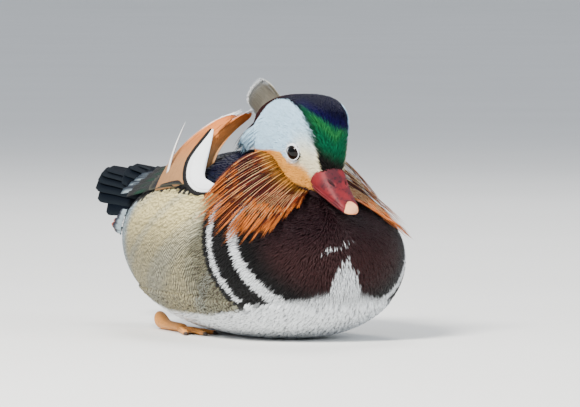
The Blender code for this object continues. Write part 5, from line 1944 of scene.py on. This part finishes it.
@dataclass
class Bill:
    """The bill: a domed upper half with its nail and nostrils, and the flat lower half."""

    upper_rows: Rows = (
        (-12, 9.2, -16.0, -1.5),
        (-19, 9.9, -17.2, -1.4),
        (-25, 9.2, -18.2, -6.6),
        (-32, 8.2, -19.2, -11.3),
        (-39, 7.1, -20.3, -15.1),
        (-43.5, 6.3, -21.5, -17.2),
        (-46.5, 3.9, -22.6, -19.2),
        (-48.2, 0, -21.8, -21.8),
    )
    lower_rows: Rows = (
        (-11, 7.6, -20.0, -16.4),
        (-19, 8.1, -20.8, -17.5),
        (-27, 7.5, -21.5, -18.7),
        (-36, 6.7, -22.3, -20.1),
        (-42.6, 4.7, -22.9, -21.4),
    )
    nail_start: float = -40.6
    nostril: tuple[float, float, float] = (5.3, -27.5, -10.4)
    nostril_slope: float = 35
    sides: int = 128
    steps: int = 14

    def _half(self, rows: Rows, upper: bool) -> tuple[Array, Faces]:
        """The fine loft of one half in the head's frame."""
        full = []
        for along, half, low, high in rows:
            level = low + 0.25 * (high - low) if upper else high - 0.2
            full.append((along, half, low, level if half else low, high))
        powers = (5.0, 2.7) if upper else (2.2, 5.0)
        return loft_arrays(smooth_rows(full, self.steps), self.sides, powers)

    def _carve(self, points: Array) -> tuple[Array, Array]:
        """Sink the nostrils and raise a low rim round them."""
        x, y, z = points.T
        out, back, up = self.nostril
        slope = math.radians(self.nostril_slope)
        along = (y - back) * math.cos(slope) + (z - up) * math.sin(slope)
        over = np.abs(x) - out - 0.35 * along
        gap = np.sqrt((along / 2.3) ** 2 + (over / 0.95) ** 2)
        top = smooth_step(-14.5, -13.0, z - 0.71 * (y - back))
        # The nostrils' depth, which the bill's finish also paints dark as shade.
        shaded_hollow = smooth_step(1.15, 0.7, gap) * top
        rim = np.exp(-(((gap - 1.5) / 0.4) ** 2)) * top
        moved = points.copy()
        moved[:, 0] -= np.sign(x) * shaded_hollow * 0.9
        moved[:, 2] += rim * 0.22 - shaded_hollow * 1.8
        return moved, shaded_hollow

    def build(self) -> None:
        """Make both halves and the nail."""
        red = BillFinish("bill_finish", linear(112, 18, 26), linear(70, 10, 22), linear(18, 5, 12))
        horn = BillFinish("nail_finish", linear(240, 176, 128), linear(226, 140, 96), linear(214, 132, 92))
        points, faces = self._half(self.upper_rows, True)
        points, shaded_hollow = self._carve(points)
        low = np.interp(points[:, 1], *np.array([(r[0], r[2]) for r in reversed(self.upper_rows)]).T)
        height = points[:, 2] - low
        # A groove along the side above the edge, pressed in here and painted dark as shade by the bill's
        # finish.
        edge = smooth_step(1.5, 2.0, height) * smooth_step(2.9, 2.3, height)
        points[:, 0] -= np.sign(points[:, 0]) * edge * 0.3
        front = [f for f in faces if self._on_nail(points[list(f)].mean(0))]
        rest = [f for f in faces if not self._on_nail(points[list(f)].mean(0))]
        marks = np.stack([edge, shaded_hollow, 0 * edge], 1)
        self._piece("bill_top", points, rest, red, "bill", "bill_upper", marks)
        swollen = points.copy()
        tip = smooth_step(self.nail_start + 1, self.nail_start - 2, points[:, 1])
        swollen[:, 2] += tip * 0.35
        self._piece("bill_tip", swollen, front, horn, "nail", "bill_nail", 0 * points)
        points, faces = self._half(self.lower_rows, False)
        self._piece("bill_base", points, faces, red, "bill", "bill_lower", 0 * points)
        self._combs()

    def _combs(self) -> None:
        """Set the fine comb of plates along both edges of the gape."""
        rows = np.array(self.upper_rows[:-2])[::-1]
        back = np.tile(np.arange(-40.0, -15.0, 0.75), 2)
        side = np.repeat((-1.0, 1.0), len(back) // 2)
        half, low = (np.interp(back, rows[:, 0], rows[:, k]) for k in (1, 2))
        places = np.stack([side * (half - 0.75), back, low + 0.05], 1)
        ups = np.tile((0.0, 0.0, 1.0), (len(back), 1)) @ HEAD_AXES.T
        ways = np.stack([side, 0 * side, 0 * side], 1) @ HEAD_AXES.T
        horn = HornFinish("comb_finish", linear(120, 46, 46))
        Studs("bill_combs", (0.22, 0.7, 0.55), horn).build(from_head(places), ups, ways, "bill")

    def _on_nail(self, place: Array) -> bool:
        """Whether a place lies on the rounded nail at the tip."""
        back = self.nail_start - 0.25 * (place[2] + 20)
        return place[1] < back - 0.2 * place[0] ** 2

    @staticmethod
    def _piece(
        name: str, points: Array, faces: Faces, finish: BillFinish, slot: str, node: str, marks: Array
    ) -> None:
        """Make one closed piece of the bill, with its edge and its hollows marked."""
        used = sorted({v for f in faces for v in f})
        order = {v: k for k, v in enumerate(used)}
        mesh = plain_mesh(name, from_head(points[used]), [tuple(order[v] for v in f) for f in faces])
        store(mesh, "Traits", marks[used])
        work = bmesh.new()
        work.from_mesh(mesh)
        bmesh.ops.holes_fill(work, edges=[e for e in work.edges if e.is_boundary])
        bmesh.ops.recalc_face_normals(work, faces=work.faces)
        work.to_mesh(mesh)
        work.free()
        mesh.shade_smooth()
        mesh.materials.append(finish.material())
        hand_over(new_object(name, mesh), (node,))
        LOG.info("%s: %d faces", name, len(faces))


@dataclass
class Eye:
    """An eyeball with its lids."""

    side: Side
    radius: float = 5.5
    flatten: float = 0.93
    lid_radius: float = 4.65
    lid_out: float = 3.2
    lid_thick: float = 0.43

    def _frame(self) -> Matrix:
        """The eye's place and turn, with +X looking out of the head, in millimetres."""
        turn = -EYE_FORWARD_TURN if self.side is Side.LEFT else math.pi + EYE_FORWARD_TURN
        place = Matrix.Translation(Vector((self.side.value * EYE_OUT, 0, 0)))
        return HEAD_FRAME @ place @ Matrix.Rotation(turn, 4, "Z")

    def build(self) -> None:
        """Make the ball and the lids."""
        turns = np.linspace(-1, 1, 33)[1:-1] * np.pi / 2
        points, faces = ball_arrays(np.sin(turns), np.cos(turns), 48)
        out = points[:, 1]
        points = points[:, (1, 0, 2)] * (self.radius * self.flatten, self.radius, self.radius)
        name = "eyeball_" + self.side.word
        ball = plain_mesh(name, placed(points, self._frame()), faces)
        radial = np.where(out > 0, np.sqrt(1 - np.clip(out, -1, 1) ** 2), 1.0)
        store(ball, "Traits", np.stack([radial, 0 * out, 0 * out], 1))
        ball.materials.append(EyeFinish(name + "_finish").material())
        hand_over(new_object(name, ball), ("eye_" + self.side.word,))
        self._lids()

    def _lids(self) -> None:
        """A soft rim round the eye, pinched at its corners."""
        around, tube = 72, 14
        turns = (2 * np.pi * np.arange(count) / count for count in (around, tube))
        ring, wrap = np.meshgrid(*turns, indexing="ij")
        pinch = np.abs(np.cos(ring)) ** 8
        radius = self.lid_radius * (1 - 0.04 * np.abs(np.sin(ring)) ** 2 + 0.1 * pinch)
        thick = self.lid_thick * (1 + 0.25 * np.sin(ring)) * (1 - 0.35 * pinch)
        crease = 1 + 0.1 * np.sin(2 * wrap + 18 * ring)
        out = self.lid_out + thick * 1.1 * np.sin(wrap) * crease
        reach = radius + thick * 1.25 * np.cos(wrap)
        points = np.stack([out, reach * np.cos(ring), reach * np.sin(ring)], 2).reshape(-1, 3)
        faces = []
        for i in range(around):
            for j in range(tube):
                n, m = (i + 1) % around, (j + 1) % tube
                faces.append((i * tube + j, n * tube + j, n * tube + m, i * tube + m))
        name = "lids_" + self.side.word
        lid = plain_mesh(name, placed(points, self._frame()), faces)
        inner = smooth_step(0.1, 0.7, -np.cos(wrap.ravel()))
        store(lid, "Plumage", mix(linear(240, 244, 248), linear(14, 13, 15), inner))
        lid.materials.append(ScalyFinish(name + "_finish", 1400.0, 0.55).material())
        hand_over(new_object(name, lid))
        LOG.info("eye %s: ball and lids", self.side.word)


@dataclass
class Foot:
    """A foot tucked beside the belly: shank, three toes with webs and claws, and the scutes."""

    side: Side
    place: tuple[float, float] = (34, 50)
    turn: float = math.radians(4)
    shank: Rows = (
        (-6, 0, 2.2, 2.2, 2.2),
        (-3, 3.4, 0.2, 2.4, 5.0),
        (6, 3.2, 0.2, 2.6, 5.6),
        (20, 3.2, 0.3, 3.0, 6.4),
        (32, 4.0, 1.0, 6.0, 11.0),
        (37, 0, 8, 8, 8),
    )
    toes: Rows = ((-14, 38), (2, 45), (18, 39))
    web_grid: int = 14
    toe_rows: Rows = (
        (0, 2.6, 0.2, 1.6, 3.6),
        (0.14, 2.2, 0.2, 1.4, 3.3),
        (0.3, 2.6, 0.2, 1.5, 3.5),
        (0.45, 2.0, 0.2, 1.3, 2.9),
        (0.6, 2.3, 0.2, 1.3, 3.0),
        (0.74, 1.7, 0.2, 1.1, 2.4),
        (0.88, 1.8, 0.2, 1.0, 2.4),
        (0.94, 1.0, 0.25, 1.0, 1.9),
        (1.0, 0, 0.6, 0.6, 0.6),
    )

    def _frame(self) -> Matrix:
        """The foot's place and turn, in millimetres."""
        place = Vector((self.side.value * self.place[0], self.place[1], 0))
        return Matrix.Translation(place) @ Matrix.Rotation(self.side.value * self.turn, 4, "Z")

    def _spin(self, angle: float) -> Array:
        """The turn of one toe, given in degrees."""
        return np.array(Matrix.Rotation(self.side.value * math.radians(angle), 3, "Z"))

    def _web(self, first: Array, second: Array) -> tuple[Array, Faces]:
        """The folded web between two toes, as an upper and a lower sheet."""
        grid = self.web_grid
        u, v = np.meshgrid(np.linspace(0, 1, grid), np.linspace(0, 1, grid), indexing="ij")
        reach = u * (1 - 0.2 * np.sin(np.pi * v))
        flat = reach[..., None] * (first * (1 - v[..., None]) + second * v[..., None])
        fold = 0.9 + 0.28 * np.sin(v * 9 * np.pi) * np.sin(np.pi * v) * u
        sheets = []
        for sign in (1, -1):
            sheet = flat + np.array((0, 0, 1.0)) * (fold + 0.32 * sign)[..., None]
            corners = [i * grid + j for i in range(grid - 1) for j in range(grid - 1)]
            faces = [(a, a + grid, a + grid + 1, a + 1)[::sign] for a in corners]
            sheets.append((sheet.reshape(-1, 3), faces))
        return joined(sheets)

    def build(self) -> bpy.types.Object:
        """Make the foot in one piece."""
        bodies = [loft_arrays(smooth_rows(self.shank, 5), 24, (2, 2))]
        tones = [linear(222, 148, 66) + 0 * bodies[0][0]]
        ends = []
        for angle, length in self.toes:
            rows = [(-along * length, *rest) for along, *rest in self.toe_rows]
            toe, faces = loft_arrays(smooth_rows(rows, 4), 18, (2, 2))
            bodies.append((toe @ self._spin(angle).T, faces))
            claw = smooth_step(-0.89 * length, -0.92 * length, toe[:, 1])
            tones.append(mix(linear(226, 152, 68), linear(60, 46, 40), claw))
            ends.append(self._spin(angle) @ (0, -0.86 * length, 0))
        for first, second in zip(ends, ends[1:]):
            bodies.append(self._web(first, second))
            tones.append(linear(128, 92, 58) + 0 * bodies[-1][0])
        points, faces = joined(bodies)
        points = placed(points, self._frame())
        points[:, 2] = np.maximum(points[:, 2], 0.1)
        name = "webbed_foot_" + self.side.word
        mesh = mesh_from_faces(name, points, faces)
        store(mesh, "Plumage", np.concatenate(tones))
        mesh.materials.append(ScalyFinish(name + "_finish", 700.0, 0.5).material())
        foot = hand_over(new_object(name, mesh), ("foot_" + self.side.word,))
        LOG.info("%s: %d faces", name, len(faces))
        self._scutes()
        return foot

    def _scutes(self) -> None:
        """Set a row of scales along the top of each toe."""
        places, ways = [], []
        rows = np.array(self.toe_rows)
        for angle, length in self.toes:
            spin = self._spin(angle)
            along = np.arange(0.04, 0.88, 1.5 / length)
            top = np.interp(along, rows[:, 0], rows[:, 4]) - 0.15
            places.append(np.stack([0 * along, -along * length, top], 1) @ spin.T)
            ways.append(np.tile(spin @ (0.0, -1.0, 0.0), (len(along), 1)))
        places = placed(np.concatenate(places), self._frame())
        ways = np.concatenate(ways) @ np.array(self._frame().to_3x3()).T
        ups = np.tile((0.0, 0.0, 1.0), (len(places), 1))
        horn = HornFinish("scute_finish_" + self.side.word, linear(236, 160, 74))
        Studs("toe_scutes_" + self.side.word, (1.5, 0.85, 0.4), horn).build(places, ups, ways, "foot")


@dataclass
class Studio:
    """The camera at the photo's angle, the pale floor and the soft lights."""

    yaw: float = -28
    rise: float = 2.5
    distance: float = 4.0
    target: tuple[float, float, float] = (0.0117, -0.0062, 0.0797)
    width: float = 0.3515
    sensor: float = 36.0
    floor_radius: float = 16.0

    def _aim(self, data: bpy.types.ID, turn: float, rise: float, distance: float) -> bpy.types.Object:
        """Stand a camera or light round the bird, by turn and rise in degrees, and face it."""
        turn, rise = math.radians(turn), math.radians(rise)
        away = Vector((math.sin(turn) * math.cos(rise), -math.cos(turn) * math.cos(rise), math.sin(rise)))
        made = new_object(data.name, data)
        made.location = Vector(self.target) + away * distance
        made.rotation_euler = (-away).to_track_quat("-Z", "Y").to_euler()
        return made

    def camera(self) -> None:
        """Set up the camera."""
        data = bpy.data.cameras.new("camera")
        data.sensor_width = self.sensor
        data.lens = self.sensor * self.distance / self.width
        data.clip_end = 100
        bpy.context.scene.camera = self._aim(data, self.yaw, self.rise, self.distance)

    def floor(self) -> None:
        """A wide floor that curves up into a backdrop all round."""
        flat, sides = self.floor_radius - 2, 96
        profile = [(0.5, 0.0), (2.0, 0.0), (flat, 0.0)]
        profile += [(flat + 2 * math.sin(t), 2 - 2 * math.cos(t)) for t in np.linspace(0.1, 1.4, 12)]
        turns = np.linspace(0, 2 * math.pi, sides, endpoint=False)
        points = [(0, 0, 0), *((r * math.cos(a), r * math.sin(a), z) for r, z in profile for a in turns)]
        faces = []
        for k in range(sides):
            n = (k + 1) % sides
            faces.append((0, 1 + k, 1 + n))
            starts = range(1, 1 + (len(profile) - 1) * sides, sides)
            faces += [(a + k, a + sides + k, a + sides + n, a + n) for a in starts]
        mesh = mesh_from_faces("floor", np.array(points, float) / MM, faces)
        mesh.materials.append(FloorFinish().material())
        new_object("floor", mesh)

    def light(
        self, name: str, place: Sequence[float], size: float, power: float, colour: Sequence[float]
    ) -> None:
        """Aim one soft light at the bird, from a turn, rise and distance."""
        data = bpy.data.lights.new(name, "AREA")
        data.shape = "DISK"
        data.size = size
        data.energy = power
        data.color = colour
        self._aim(data, *place)

    def build(self) -> None:
        """Set up everything round the bird."""
        self.camera()
        self.floor()
        self.light("key", (-62, 44, 2.2), 0.7, 125, (1.0, 0.965, 0.9))
        self.light("fill", (35, 25, 2.6), 1.6, 30, (0.9, 0.95, 1.0))
        self.light("rim", (150, 50, 2.4), 0.9, 34, (1.0, 0.98, 0.95))
        world = bpy.data.worlds.new("studio")
        world.use_nodes = True
        background = world.node_tree.nodes["Background"]
        background.inputs["Color"].default_value = (0.84, 0.9, 1.0, 1)
        background.inputs["Strength"].default_value = 0.75
        bpy.context.scene.world = world


def main() -> None:
    """Build the bird's looks piece by piece."""
    logging.basicConfig(level=logging.INFO, format="%(message)s")
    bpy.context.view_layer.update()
    rng = np.random.default_rng(SEED)
    Studio().build()
    skin = Skin()
    skin.dress()
    Coat().build(skin, rng)
    for side in Side:
        Ruff(side).build(skin, rng)
        Wing(side).build(skin, rng)
        Scapulars(side).build()
        RumpPlumes(side).build(skin, rng)
        Eye(side).build()
        Foot(side).build()
    for sail in SAILS:
        sail.build(rng)
    Crest().build(skin, rng)
    Tail().build(rng)
    Bill().build()


if __name__ == "__main__":
    main()
